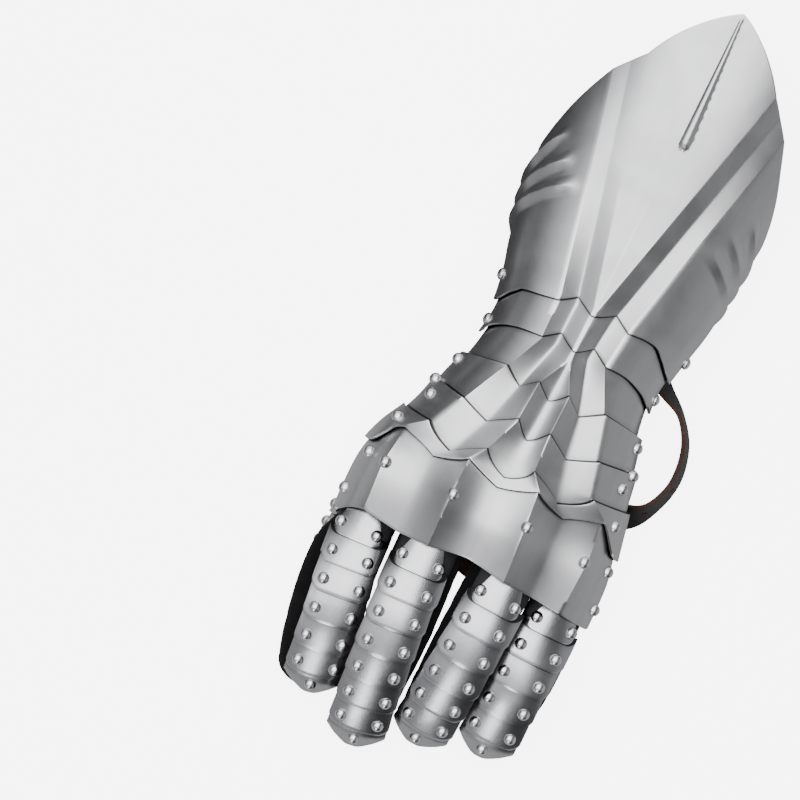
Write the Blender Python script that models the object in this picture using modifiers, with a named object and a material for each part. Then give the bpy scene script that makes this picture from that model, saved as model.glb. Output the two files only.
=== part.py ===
"""A left-hand plate gauntlet with a pointed cuff, lying palm down.

+Z is up and +Y runs from the wrist to the point of the cuff. The fingers reach towards -Y, and the thumb
is on the -X side. The tables below are in millimetres, and place() turns them into metres about the origin.
Every plate of the cuff, wrist and hand follows one envelope, and the creases run over all of them.
"""

from math import acos, copysign, cos, degrees, hypot, pi, radians, sin, sqrt

import bmesh
import bpy
from mathutils import Matrix, Vector
from mathutils.bvhtree import BVHTree

MM = 0.001
ORIGIN = Vector((2.333, -53.22, 0.0))  # the middle of the object's footprint, in the tables' millimetres

# ---- Driving dimensions -----------------------------------------------------------------------------
STEEL = 1.2  # thickness of the plates
SCALE_STEEL = 0.9
SUEDE = 1.4
STRIP_LEATHER = 1.2
STRAP_LEATHER = 2.0
GAP = 0.35  # between pieces that touch
STRIP_GAP = 0.9  # under the strips that carry the scales
ROUNDNESS = 2.4  # 2 is an ellipse, more is squarer

CUFF_PIVOT_Y = -11.5
HAND_PIVOT_Y = -34.0
PIVOT_Z = 37.0
PIN_RADIUS = 1.5
PIN_CLEARANCE = 0.5
WASHER_RADIUS = 2.6

RIVET_RADIUS = 3.1
RIVET_HEIGHT = 1.6
SMALL_RIVET = 0.92  # the scales' rivets, as a share of the plates'
RIVET_MARGIN = 0.1  # the steel left beside a scale's rivet

# The envelope of the plates: a section at each station along the arm.
#     y    left   right  crown  waist  keel
SECTIONS = (
    (150.0, -66.0, 68.0, 93.0, 40.0, -1.6),
    (100.0, -63.0, 64.5, 84.5, 38.5, -1.6),
    (56.0, -58.6, 60.0, 75.0, 36.0, -1.6),
    (37.0, -56.5, 58.0, 70.5, 34.5, -1.6),
    (19.0, -52.5, 54.8, 65.5, 33.5, -1.6),
    (5.0, -48.5, 52.0, 61.5, 32.5, -1.6),
    (-8.0, -44.4, 48.6, 58.5, 31.5, -1.6),
    (-24.0, -41.9, 45.2, 57.2, 31.0, -1.6),
    (-34.0, -42.2, 44.2, 57.2, 31.0, -1.6),
    (-53.0, -45.5, 46.5, 59.0, 30.0, -1.6),
    (-68.0, -51.0, 51.0, 60.5, 29.0, -1.6),
    (-80.0, -55.5, 54.5, 62.0, 28.0, -1.6),
    (-89.0, -60.0, 57.0, 63.5, 27.5, -1.6),
    (-100.0, -66.0, 59.5, 65.0, 27.0, -1.6),
    (-113.0, -70.5, 62.5, 67.5, 26.5, -1.6),
    (-125.0, -72.0, 65.0, 67.0, 26.0, -1.6),
    (-150.0, -71.5, 66.0, 60.5, 26.0, -1.6),
)

# The routes of the creases, crests and valleys in turn from the thumb side: y, x and the height of the fold.
# The two middle crests meet between the wrist and the hand, and part again both ways.
CREASES = (
    ((150, -55.6, 0.9), (60, -33.8, 1.1), (-9, -17.0, 2.0), (-31, -16.4, 2.2), (-51, -25.0, 2.4),
     (-73, -36.0, 2.4), (-90.5, -45.5, 2.4), (-98, -55.0, 2.0), (-118, -57.0, 3.4), (-150, -56.0, 2.0)),
    ((150, -48.5, 0.3), (60, -26.1, 0.2), (-9, -9.0, -1.2), (-31, -9.5, -1.6), (-57.5, -17.0, -2.0),
     (-79, -23.5, -2.2), (-99.5, -33.0, -2.0), (-104.5, -39.0, -1.8), (-118, -39.5, -2.2),
     (-150, -38.0, -1.8)),
    ((150, -41.9, 0.3), (60, -18.6, 0.4), (-9, -0.7, 2.0), (-31, -0.9, 2.2), (-37, -1.2, 2.2),
     (-51, -8.6, 2.4), (-73, -10.0, 2.4), (-90.5, -17.0, 2.4), (-98, -22.6, 2.0), (-118, -23.0, 3.4),
     (-150, -22.0, 2.0)),
    ((150, 0.5, 0.0), (-9, 0.2, 2.0), (-31, -0.3, 2.2), (-37, -0.3, 2.2), (-57.5, -0.7, -1.8),
     (-79, -1.9, -2.0), (-99.5, -4.0, -1.8), (-104.5, -5.0, -1.8), (-118, -4.0, -2.2),
     (-150, -2.0, -1.8)),
    ((150, 39.5, 1.6), (-9, 1.1, 2.0), (-31, 0.3, 2.2), (-37, 0.6, 2.2), (-51, 6.8, 2.4),
     (-73, 6.5, 2.4), (-90.5, 7.5, 2.4), (-98, 13.5, 2.0), (-118, 15.0, 3.4), (-150, 18.0, 2.0)),
    ((150, 47.0, 0.5), (60, 26.1, 0.2), (-9, 10.0, -1.2), (-31, 7.4, -1.6), (-57.5, 15.5, -2.0),
     (-79, 19.0, -2.2), (-99.5, 24.0, -2.0), (-104.5, 30.0, -1.8), (-118, 31.0, -2.2),
     (-150, 33.0, -1.8)),
    ((150, 55.4, 1.4), (-9, 18.6, 2.0), (-31, 16.0, 2.2), (-51, 25.0, 2.4), (-73, 32.0, 2.4),
     (-90.5, 37.5, 2.4), (-98, 47.0, 2.0), (-118, 47.6, 3.4), (-150, 48.0, 2.0)),
)
SHOULDER = 0.3  # the share of a side over which the outer crest dies away


def edge(creases, left, right):
    """An edge of a plate: y on the seven creases, and rows of (share of the side, y) down to each hem."""
    return {"creases": creases, "left": left, "right": right}


def even(count):
    """The shares of evenly spaced rows."""
    return tuple(n / count for n in range(count + 1))


def steps(crest, valley):
    """The seven places of a zigzag edge."""
    return (crest, valley, crest, valley, crest, valley, crest)


# The plates, from the cuff to the knuckles. A hem is the angle where a side ends, and a lift is how far
# an edge stands off the envelope: the edge that shows is lifted over the neighbour's hidden one.
PLATES = {
    "cuff_plate": {
        "front": edge(
            (-11.7, -6.4, -11.6, -11.8, -11.6, -6.4, -11.7),
            ((0.1, -13.0), (0.26, -14.6), (0.32, -17.0), (0.54, -24.0), (0.72, -21.0), (1.0, -3.0)),
            ((0.1, -11.0), (0.19, -12.0), (0.28, -16.0), (0.41, -21.0), (0.6, -24.0), (0.74, -20.0),
             (1.0, -3.0)),
        ),
        "rear": edge(
            (97.0, 104.0, 110.0, 145.0, 117.0, 110.0, 101.0),
            ((0.23, 76.0), (0.46, 57.0), (0.7, 47.0), (0.87, 41.0), (1.0, 38.0)),
            ((0.13, 87.0), (0.31, 71.0), (0.48, 57.0), (0.7, 47.0), (0.87, 41.0), (1.0, 38.0)),
        ),
        "hems": (222.0, -42.0), "lifts": (3.9, 0.0), "sides": 9,
        "rows": even(10),
    },
    "wrist_lame": {
        "front": edge(
            (-30.5, -25.0, -30.4, -30.5, -30.4, -25.0, -30.5),
            ((0.28, -32.0), (0.58, -36.0), (0.83, -41.0), (1.0, -39.0)),
            ((0.19, -31.0), (0.38, -34.0), (0.76, -41.0), (1.0, -39.0)),
        ),
        "rear": edge(
            (0.5, 5.0, 0.5, 0.5, 0.5, 5.0, 0.5),
            ((0.3, -1.0), (0.7, -3.5), (1.0, -6.0)),
            ((0.3, -1.0), (0.7, -3.5), (1.0, -6.0)),
        ),
        "hems": (193.0, -13.0), "lifts": (2.3, 1.0), "sides": 6,
        "rows": even(3),
    },
    "hand_lame_1": {
        "front": edge(steps(-61.0, -66.0), ((0.3, -62.0), (1.0, -64.0)), ((0.3, -62.0), (1.0, -64.0))),
        "rear": edge(
            (-18.5, -13.5, -18.5, -18.5, -18.5, -13.5, -18.5),
            ((0.3, -20.0), (0.7, -25.5), (1.0, -27.0)),
            ((0.3, -20.0), (0.7, -25.5), (1.0, -27.0)),
        ),
        "hems": (193.0, -13.0), "lifts": (0.0, -0.6), "sides": 6,
        "rows": even(4),
    },
    "hand_lame_2": {
        "front": edge(steps(-81.0, -86.5), ((0.4, -81.0), (1.0, -82.0)), ((0.4, -81.0), (1.0, -82.0))),
        "rear": edge(
            (-50.5, -57.0, -51.0, -57.5, -51.0, -58.0, -51.5),
            ((0.4, -52.5), (0.8, -53.5), (1.0, -54.0)),
            ((0.4, -53.0), (0.8, -54.0), (1.0, -54.0)),
        ),
        "hems": (183.0, -12.0), "lifts": (0.0, 2.7), "sides": 5,
        "rows": even(3),
    },
    "hand_lame_3": {
        "front": edge(steps(-94.3, -101.8), ((0.3, -95.0), (1.0, -96.0)), ((0.3, -95.0), (1.0, -96.0))),
        "rear": edge(
            (-73.5, -79.0, -71.3, -79.0, -71.2, -79.0, -73.0),
            ((0.4, -71.5), (1.0, -71.0)),
            ((0.4, -71.5), (1.0, -71.0)),
        ),
        "hems": (182.0, -11.0), "lifts": (0.0, 3.0), "sides": 5,
        "rows": even(3),
    },
    "hand_lame_4": {
        "front": edge(
            steps(-98.0, -104.5),
            ((0.25, -101.0), (0.5, -110.0), (1.0, -111.0)),
            ((0.25, -106.0), (0.45, -111.0), (1.0, -112.0)),
        ),
        "rear": edge(steps(-90.5, -99.5), ((0.25, -90.0), (1.0, -88.0)), ((0.25, -90.0), (1.0, -88.0))),
        "hems": (181.0, -10.0), "lifts": (2.6, 3.0), "sides": 5,
        "rows": even(2),
    },
    "knuckle_plate": {
        "front": edge(
            (-142.5, -145.0, -144.5, -141.5, -144.6, -145.0, -146.5),
            ((0.3, -144.5), (0.6, -148.0), (1.0, -146.0)),
            ((0.3, -147.5), (0.6, -148.0), (1.0, -145.0)),
        ),
        "rear": edge(steps(-94.8, -102.3), ((0.3, -97.0), (1.0, -98.0)), ((0.3, -97.0), (1.0, -98.0))),
        "hems": (179.0, -9.0), "lifts": (0.0, 0.0), "sides": 5,
        "rows": (0.0, 0.2, 0.4, 0.56, 0.7, 0.82, 0.92, 1.0),
    },
}
CUFF_LIFT_LENGTH = 62.0  # the cuff settles onto the envelope over this length

# Rivets of the plates, as x and y on the envelope.
PLATE_RIVETS = {
    "hand_lame_2": ((-46.0, -58.0), (45.9, -59.1)),
    "hand_lame_3": ((-50.5, -70.0), (49.4, -72.0), (-51.0, -79.0), (48.4, -79.6)),
    "hand_lame_4": ((-60.0, -96.0), (51.8, -98.0)),
    "knuckle_plate": ((-57.0, -117.6), (-23.0, -117.0), (15.0, -116.0), (47.6, -119.0), (-67.0, -116.5),
                      (-70.0, -137.5), (61.4, -118.4), (63.7, -137.8)),
}
TAB_RIVET_STATIONS = (6.0, 29.0)
TAB_RIVET_ANGLES = (211.0, -31.0)

# The fingers: number of scales, x and z at the root, x and y at the tip, how late the finger turns in and
# bends down, and how far its back leans sideways at the root, in degrees.
FINGER_COLUMNS = ("scales", "root", "tip", "turn", "droop", "lean")
FINGERS = {
    "index": (7, (-53.0, 33.0), (-43.2, -231.0), 1.6, 3.0, -16.0),
    "middle": (8, (-22.0, 45.5), (-12.8, -245.0), 1.8, 2.5, 0.0),
    "ring": (7, (19.5, 45.5), (14.6, -230.0), 1.3, 2.5, 0.0),
    "little": (6, (46.8, 33.0), (46.0, -222.0), 1.5, 3.0, 16.0),
}
FINGER_ROOT_Y = -138.6
TIP_Z = 2.8
THUMB_ROUTE = ((-37.0, -84.0, 16.0), (-45.0, -100.0, 14.4), (-52.0, -120.0, 12.6), (-55.2, -138.0, 11.4),
               (-56.0, -155.0, 10.8), (-55.3, -170.0, 10.4), (-54.3, -184.0, 10.2))
THUMB_OUTWARD = radians(172.0)

# The glove round each finger: share of the length, half widths to the thumb side and away from it.
FINGER_WIDTHS = {
    "index": ((0.0, 13.8, 13.8), (0.1, 15.2, 13.6), (0.22, 20.6, 13.4), (0.45, 22.0, 13.0),
              (0.75, 20.5, 12.0), (1.0, 17.5, 11.0)),
    "middle": ((0.0, 14.0, 16.6), (0.4, 14.2, 17.0), (0.7, 12.6, 14.6), (1.0, 11.0, 12.0)),
    "ring": ((0.0, 17.0, 13.4), (0.4, 16.0, 13.6), (0.7, 14.0, 12.6), (1.0, 12.0, 11.5)),
    "little": ((0.0, 13.2, 14.6), (0.4, 13.6, 17.0), (0.7, 13.4, 15.5), (1.0, 12.0, 13.0)),
    "thumb": ((0.0, 11.4, 11.4), (0.5, 10.4, 10.4), (1.0, 9.6, 9.6)),
}
FINGER_HEIGHT = 9.8
THUMB_HEIGHT = 10.4
CAP_LENGTH = 11.0

SCALE_HALF_WIDTH = 12.9
# Share of a finger's length, half the width of the curve that its scales are bent to: wider than the glove.
SCALE_CURVE = ((0.0, 12.5), (0.07, 13.8), (0.28, 18.5), (1.0, 18.5))
SCALE_RIVET_SPACING = 8.1  # from the middle of a finger's scale to its rivets
SCALE_OVERLAP = 4.5
SCALE_LIFT = 2.4
SCALE_START = 5.5  # the hidden end of the strip, under the knuckle plate
THUMB_SCALES = 5
THUMB_SCALE_START = 54.0

# The glove's hand and sleeve: a section at each station.
#     y     left   right  top   sole
GLOVE_SECTIONS = (
    (58.0, -41.0, 44.0, 57.0, 15.0),
    (20.0, -38.5, 41.5, 54.0, 13.4),
    (-11.0, -36.5, 39.5, 51.0, 12.8),
    (-34.0, -37.0, 39.5, 51.0, 10.0),
    (-53.0, -40.5, 42.0, 52.5, 6.5),
    (-68.0, -45.2, 46.5, 54.0, 4.6),
    (-80.0, -49.2, 49.0, 55.5, 4.6),
    (-100.0, -58.5, 53.0, 58.0, 4.6),
    (-113.0, -63.5, 56.3, 59.0, 5.4),
    (-125.0, -65.5, 58.5, 58.0, 9.0),
    (-137.5, -66.0, 60.0, 54.5, 21.0),
)

# Straps: x, y and z of the middle line, and how far the strap is turned onto its edge, in degrees.
WRIST_STRAP_ROUTE = (
    (-47.2, -67.0, 30.0, 0), (-46.6, -67.22, 23.0, 0), (-43.5, -68.6, 14.0, 0), (-37.0, -70.8, 6.8, 0),
    (-27.0, -74.5, 2.6, 0), (-14.0, -79.5, 1.25, 0), (2.0, -86.0, 1.25, 0), (16.0, -90.8, 2.3, 0),
    (26.0, -92.0, 5.0, 0), (34.5, -92.0, 6.45, 0), (42.0, -92.0, 5.6, 0), (51.5, -92.0, 5.0, 0),
    (60.0, -90.5, 6.4, 30), (68.0, -83.5, 8.4, 62), (73.0, -72.0, 9.0, 70), (74.0, -60.0, 9.2, 72),
    (70.5, -46.0, 9.2, 76), (62.0, -34.0, 9.2, 78), (50.5, -26.5, 9.6, 60), (38.0, -18.0, 10.2, 32),
    (27.0, -6.0, 10.5, 10), (19.0, 8.0, 10.5, 0), (13.0, 25.0, 10.6, 0), (8.0, 57.0, 10.6, 0),
)
WRIST_STRAP_WIDTH = 14.0
WRIST_STRAP_HOLES = (0.50, 0.56, 0.62)
PALM_STRAP_ROUTE = (
    (-36.0, -111.0, 2.6, 0), (-28.0, -128.0, 5.0, 0), (-10.0, -143.0, 8.0, 0), (12.0, -148.0, 9.0, 0),
    (33.0, -140.0, 9.5, 0), (45.5, -129.0, 11.5, 0), (53.5, -120.5, 15.5, 0), (58.0, -118.0, 22.0, 0),
    (59.5, -117.6, 31.0, 0),
)
PALM_STRAP_WIDTH = 9.0
PALM_STRAP_LEATHER = 1.5
CUFF_STRAP_ENDS = (2.0, 37.0)
CUFF_STRAP_ANGLES = (203.0, 337.0)
CUFF_STRAP_LEATHER = 2.4

BUCKLE_Y = -92.0
ROLLER = (34.5, 3.75)  # x and z of the roller
BUCKLE_BAR = (50.0, 10.3)  # x and z of the bar that the tongue swings on
BUCKLE_HALF_WIDTH = 9.4
BUCKLE_WIRE = 1.1
ROLLER_RADIUS = 1.5
TONGUE_WIRE = 0.8

# The leather round the buckle's bar, as x and z from its riveted end.
BUCKLE_STRAP_ROUTE = (
    (54.4, 30.0), (54.5, 25.0), (54.3, 20.0), (53.8, 15.5), (52.6, 11.6), (51.8, 9.2), (50.0, 8.15),
    (48.3, 8.9), (47.85, 10.6), (48.7, 12.3), (50.4, 14.0), (51.5, 16.5), (52.0, 19.0),
)
BUCKLE_STRAP_WIDTH = 11.0
TONGUE_SLIT = (8.6, 3.2, 8.0)
BUCKLE_STRAP_LEATHER = 1.3

STEEL_GREY = (0.62, 0.63, 0.65)
BLACK_SUEDE = (0.012, 0.011, 0.012)
DARK_LEATHER = (0.035, 0.034, 0.036)
BROWN_LEATHER = (0.13, 0.06, 0.04)
NICKEL = (0.7, 0.7, 0.7)


# ---- Reading the tables -----------------------------------------------------------------------------
def place(point):
    """A point of the tables, in metres about the origin."""
    return (Vector(point) - ORIGIN) * MM


def read(rows, key, column, smooth):
    """The value of a column at a key, on a smooth curve or on straight lines through the rows."""
    rows = sorted(rows)
    key = min(max(key, rows[0][0]), rows[-1][0])
    n = next(i for i in range(len(rows) - 1) if key <= rows[i + 1][0])
    low, high = rows[n], rows[n + 1]
    span = high[0] - low[0]
    t = (key - low[0]) / span
    if not smooth:
        return low[column] + (high[column] - low[column]) * t
    before, after = rows[max(n - 1, 0)], rows[min(n + 2, len(rows) - 1)]
    slope_low = (high[column] - before[column]) / (high[0] - before[0])
    slope_high = (after[column] - low[column]) / (after[0] - low[0])
    return (
        low[column] * (1 + 2 * t) * (1 - t) ** 2
        + high[column] * t * t * (3 - 2 * t)
        + span * (slope_low * t * (1 - t) ** 2 - slope_high * t * t * (1 - t))
    )


def oval(middle, half, waist, height, angle, lift):
    """A point and its outward normal on a squarish oval, as x and z, lifted off it."""
    px = copysign(abs(cos(angle)) ** (2 / ROUNDNESS), cos(angle))
    pz = copysign(abs(sin(angle)) ** (2 / ROUNDNESS), sin(angle))
    nx = copysign(abs(px) ** (ROUNDNESS - 1), px) / half
    nz = copysign(abs(pz) ** (ROUNDNESS - 1), pz) / height
    size = hypot(nx, nz)
    return middle + half * px + nx / size * lift, waist + height * pz + nz / size * lift, nx / size, nz / size


def section(y):
    """Left, right, crown, waist and keel of the envelope at a station."""
    return [read(SECTIONS, y, column, True) for column in range(1, 6)]


def envelope(y, angle, lift):
    """A point and its outward normal on the envelope; 90 degrees is the top and 180 the thumb side."""
    left, right, crown, waist, keel = section(y)
    turn = radians(angle)
    height = crown - waist if sin(turn) >= 0 else waist - keel
    x, z, nx, nz = oval((left + right) / 2, (right - left) / 2, waist, height, turn, lift)
    return Vector((x, y, z)), Vector((nx, 0, nz))


def angle_at(x, y):
    """The angle of the envelope's upper half at x."""
    left, right = section(y)[:2]
    across = (x - (left + right) / 2) / ((right - left) / 2)
    across = min(max(across, -1.0), 1.0)
    return degrees(acos(copysign(abs(across) ** (ROUNDNESS / 2), across)))


# ---- Making objects ---------------------------------------------------------------------------------
def clear_scene():
    for thing in list(bpy.data.objects):
        bpy.data.objects.remove(thing, do_unlink=True)
    for group in list(bpy.data.collections):
        bpy.data.collections.remove(group)


def new_collection(name):
    group = bpy.data.collections.new(name)
    bpy.context.scene.collection.children.link(group)
    return group


def new_material(name, colour, roughness, metallic):
    material = bpy.data.materials.new(name)
    material.use_nodes = True
    shader = material.node_tree.nodes["Principled BSDF"]
    shader.inputs["Base Color"].default_value = (*colour, 1.0)
    shader.inputs["Roughness"].default_value = roughness
    shader.inputs["Metallic"].default_value = metallic
    return material


def add_object(name, mesh, finish=None):
    """Links a mesh: with a finish it is a part, and without one it is a cutter."""
    thing = bpy.data.objects.new(name, mesh)
    if finish:
        PARTS.objects.link(thing)
        mesh.materials.append(FINISHES[finish])
        mesh.shade_smooth()
        mesh.set_sharp_from_angle(angle=radians(30))
    else:
        CUTTERS.objects.link(thing)
        thing.hide_render = True
        thing.display_type = "WIRE"
    return thing


def to_mesh(shape, name):
    mesh = bpy.data.meshes.new(name)
    shape.to_mesh(mesh)
    shape.free()
    return mesh


def sheet(name, columns, rows, where):
    """An open surface: a grid whose vertex at (column, row) goes to where(column, row), in millimetres."""
    shape = bmesh.new()
    bmesh.ops.create_grid(shape, x_segments=columns, y_segments=rows, size=1.0)
    for vert in shape.verts:
        column = round((vert.co.x + 1) / 2 * columns)
        row = round((vert.co.y + 1) / 2 * rows)
        vert.co = place(where(column, row))
    bmesh.ops.remove_doubles(shape, verts=shape.verts, dist=0.00001)
    return to_mesh(shape, name)


def thicken(thing, thickness, offset=-1.0):
    """A wall on an open surface: -1 puts it inside, and 0 puts it on both sides."""
    wall = thing.modifiers.new("wall", "SOLIDIFY")
    wall.thickness = thickness * MM
    wall.offset = offset
    wall.use_even_offset = True


def combine(thing, tool, operation):
    step = thing.modifiers.new(tool.name, "BOOLEAN")
    step.operation = operation
    step.object = tool
    step.use_self = operation == "UNION"


def closed_tube(name, columns, rings, finish=None):
    """A closed skin round a list of rings; ring(column) gives the points, and both ends are filled."""
    shape = bmesh.new()
    loops = []
    for ring in rings:
        loops.append([shape.verts.new(place(ring(column))) for column in range(columns)])
    for first, second in zip(loops, loops[1:]):
        for n in range(columns):
            m = (n + 1) % columns
            shape.faces.new((first[n], first[m], second[m], second[n]))
    shape.faces.new(loops[0])
    shape.faces.new(loops[-1])
    bmesh.ops.recalc_face_normals(shape, faces=shape.faces)
    return add_object(name, to_mesh(shape, name), finish)


def rod(shape, start, end, radius, end_radius=None, sides=8):
    """Adds a closed round rod or cone to a bmesh, between two points in millimetres."""
    start, end = place(start), place(end)
    axis = end - start
    turn = axis.to_track_quat("Z", "Y").to_matrix().to_4x4()
    bmesh.ops.create_cone(
        shape, cap_ends=True, segments=sides, depth=axis.length,
        radius1=radius * MM, radius2=(radius if end_radius is None else end_radius) * MM,
        matrix=Matrix.Translation((start + end) / 2) @ turn,
    )


def rivet(shape, point, normal, size=1.0):
    """Adds a domed rivet head, let into the surface under it."""
    rod(shape, point - normal * 0.5, point + normal * RIVET_HEIGHT * size,
        RIVET_RADIUS * size, RIVET_RADIUS * size * 0.5, 6 if size == 1.0 else 5)


# ---- Plates -----------------------------------------------------------------------------------------
def side_shares(count):
    return [(n + 1) / count for n in range(count)]


def plate_columns(count):
    """The columns of a plate from the thumb side: shares of one side, the creases, shares of the other."""
    left = [("left", share) for share in reversed(side_shares(count))]
    right = [("right", share) for share in side_shares(count)]
    return left + [("crease", n) for n in range(len(CREASES))] + right


def edge_y(outline, column):
    kind, where = column
    if kind == "crease":
        return outline["creases"][where]
    nearest = outline["creases"][0 if kind == "left" else -1]
    return read(((0.0, nearest),) + outline[kind], where, 1, False)


def plate_lift(name, share):
    """How far a plate stands off the envelope, from its front edge (share 0) to its rear edge (share 1)."""
    front, rear = PLATES[name]["lifts"]
    return front + (rear - front) * share


def cuff_lift(y):
    """The cuff stands over the wrist lame, and settles onto the envelope further back."""
    t = min(max((y + 12.0) / CUFF_LIFT_LENGTH, 0.0), 1.0)
    return PLATES["cuff_plate"]["lifts"][0] * (1 - t * t * (3 - 2 * t))


def plate_point(name, column, share):
    """A point and its normal on a plate's outer face."""
    plate = PLATES[name]
    front, rear = edge_y(plate["front"], column), edge_y(plate["rear"], column)
    y = front + (rear - front) * share
    lift = cuff_lift(y) if name == "cuff_plate" else plate_lift(name, share)
    kind, where = column
    if kind == "crease":
        route = CREASES[where]
        return envelope(y, angle_at(read(route, y, 1, False), y), lift + read(route, y, 2, False))
    route = CREASES[0 if kind == "left" else -1]
    start = angle_at(read(route, y, 1, False), y)
    hem = plate["hems"][0 if kind == "left" else 1]
    fold = read(route, y, 2, False) * max(0.0, 1 - where / SHOULDER)
    return envelope(y, start + (hem - start) * where, lift + fold)


def skin_of(mesh):
    """A tree for finding places on an open sheet."""
    return BVHTree.FromPolygons([v.co for v in mesh.vertices], [face.vertices for face in mesh.polygons])


def make_plate(name):
    """A plate without its rivets, and a tree for finding places on its outer face."""
    columns = plate_columns(PLATES[name]["sides"])
    rows = PLATES[name]["rows"]

    def where(column, row):
        return plate_point(name, columns[column], rows[row])[0]

    mesh = sheet(name, len(columns) - 1, len(rows) - 1, where)
    skin = skin_of(mesh)
    plate = add_object(name, mesh, "steel")
    thicken(plate, STEEL)
    return plate, skin


def nearest_on(skin, point):
    """The place on a skin nearest to a point, and its normal, in millimetres."""
    spot, normal, _, _ = skin.find_nearest(place(point))
    return spot / MM + ORIGIN, normal


def skin_x(skin, y, side):
    """The x of a skin at the height of the pivots, on the side -1 or 1."""
    spot = skin.ray_cast(place((side * 90, y, PIVOT_Z)), Vector((-side, 0, 0)))[0]
    return (spot / MM + ORIGIN).x


def add_pivot_pins(shape, outer, inner, y):
    """A domed head outside, a shank through the inner plate's hole, and a washer behind it."""
    for side in (-1, 1):
        head = skin_x(outer, y, side)
        back = skin_x(inner, y, side) - side * STEEL
        rivet(shape, Vector((head, y, PIVOT_Z)), Vector((side, 0, 0)))
        rod(shape, (head + side * 0.4, y, PIVOT_Z), (back - side * 2.3, y, PIVOT_Z), PIN_RADIUS)
        rod(shape, (back - side * 1.4, y, PIVOT_Z), (back - side * 2.2, y, PIVOT_Z), WASHER_RADIUS)


def cut_pin_holes(plate, y):
    holes = bmesh.new()
    for side in (-1, 1):
        rod(holes, (side * 30, y, PIVOT_Z), (side * 60, y, PIVOT_Z), PIN_RADIUS + PIN_CLEARANCE)
    combine(plate, add_object(plate.name + "_holes", to_mesh(holes, plate.name + "_holes")), "DIFFERENCE")


def make_plates():
    made = {name: make_plate(name) for name in PLATES}
    cut_pin_holes(made["wrist_lame"][0], CUFF_PIVOT_Y)
    cut_pin_holes(made["hand_lame_1"][0], HAND_PIVOT_Y)
    for name, (plate, skin) in made.items():
        heads = bmesh.new()
        for x, y in PLATE_RIVETS.get(name, ()):
            rivet(heads, *nearest_on(skin, envelope(y, angle_at(x, y), 1.0)[0]))
        if name == "cuff_plate":
            for y in TAB_RIVET_STATIONS:
                for angle in TAB_RIVET_ANGLES:
                    rivet(heads, *nearest_on(skin, envelope(y, angle, cuff_lift(y))[0]))
            add_pivot_pins(heads, skin, made["wrist_lame"][1], CUFF_PIVOT_Y)
        if name == "wrist_lame":
            add_pivot_pins(heads, skin, made["hand_lame_1"][1], HAND_PIVOT_Y)
        if heads.verts:
            combine(plate, add_object(name + "_rivets", to_mesh(heads, name + "_rivets")), "UNION")


# ---- Fingers and thumb ------------------------------------------------------------------------------
def smooth_route(points, count):
    """Evenly counted points on a smooth curve through a few, each a tuple of any length."""
    keyed = [(n, *point) for n, point in enumerate(points)]
    last = len(points) - 1
    return [
        [read(keyed, last * n / count, column, True) for column in range(1, len(keyed[0]))]
        for n in range(count + 1)
    ]


def finger_value(name, column):
    return FINGERS[name][FINGER_COLUMNS.index(column)]


def finger_route(name):
    (root_x, root_z), (tip_x, tip_y) = finger_value(name, "root"), finger_value(name, "tip")
    route = []
    for n in range(61):
        t = n / 60
        route.append(Vector((
            root_x + (tip_x - root_x) * t ** finger_value(name, "turn"),
            FINGER_ROOT_Y + (tip_y - FINGER_ROOT_Y) * t,
            root_z + (TIP_Z - root_z) * t ** finger_value(name, "droop"),
        )))
    return route


def make_digit(name):
    """A digit's middle line, its length and the direction that its scales face."""
    if name == "thumb":
        route = [Vector(point) for point in smooth_route(THUMB_ROUTE, 60)]
        outward, height = Vector((cos(THUMB_OUTWARD), 0, sin(THUMB_OUTWARD))), THUMB_HEIGHT
    else:
        lean = radians(finger_value(name, "lean"))
        route, outward, height = finger_route(name), Vector((sin(lean), 0, cos(lean))), FINGER_HEIGHT
    stations = [0.0]
    for first, second in zip(route, route[1:]):
        stations.append(stations[-1] + (second - first).length)
    return {"name": name, "route": route, "stations": stations, "length": stations[-1],
            "outward": outward, "height": height}


def digit_frame(digit, distance):
    """The middle line's point, and the directions across and outward, at a distance from the root."""
    stations, route = digit["stations"], digit["route"]
    distance = min(max(distance, 0.0), digit["length"])
    n = next(i for i in range(len(route) - 1) if distance <= stations[i + 1] + 1e-6)
    share = (distance - stations[n]) / (stations[n + 1] - stations[n])
    centre = route[n].lerp(route[n + 1], share)
    before, after = route[max(n - 1, 0)], route[min(n + 2, len(route) - 1)]
    along = (after - before).normalized() if n else Vector(digit["route"][1] - digit["route"][0]).normalized()
    up = digit["outward"]
    if digit["name"] != "thumb":
        up = up.lerp(Vector((0, 0, 1)), min(distance / (digit["length"] * 0.5), 1.0))
    up = (up - along * up.dot(along)).normalized()
    return centre, up.cross(along), up


def half_width_at(digit, distance, column, over):
    """Half the width of a digit's glove on one side, or of the curve that its scales are bent to."""
    share = distance / digit["length"]
    half = read(FINGER_WIDTHS[digit["name"]], share, column, True)
    return max(half, read(SCALE_CURVE, share, 1, False)) if over and digit["name"] != "thumb" else half


def digit_point(digit, distance, angle, lift, over=False):
    """A point and its normal on a digit's glove, or on the wider curve over it that its scales are bent to.

    90 degrees is outward and 180 is the thumb side.
    """
    centre, across, up = digit_frame(digit, distance)
    half = half_width_at(digit, distance, 1 if cos(angle) < 0 else 2, over)
    into_cap = min(max((distance - digit["length"] + CAP_LENGTH) / CAP_LENGTH, 0.0), 1.0)
    close = sqrt(max(1 - into_cap ** 2, 0.0))
    half = max(half * close, 0.01)
    height = max(digit["height"] * close, 0.01)
    nx, nz = cos(angle) / half, sin(angle) / height
    size = hypot(nx, nz)
    x = half * cos(angle) + nx / size * lift
    z = height * sin(angle) + nz / size * lift
    return centre + across * x + up * z, (across * nx + up * nz) / size


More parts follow.
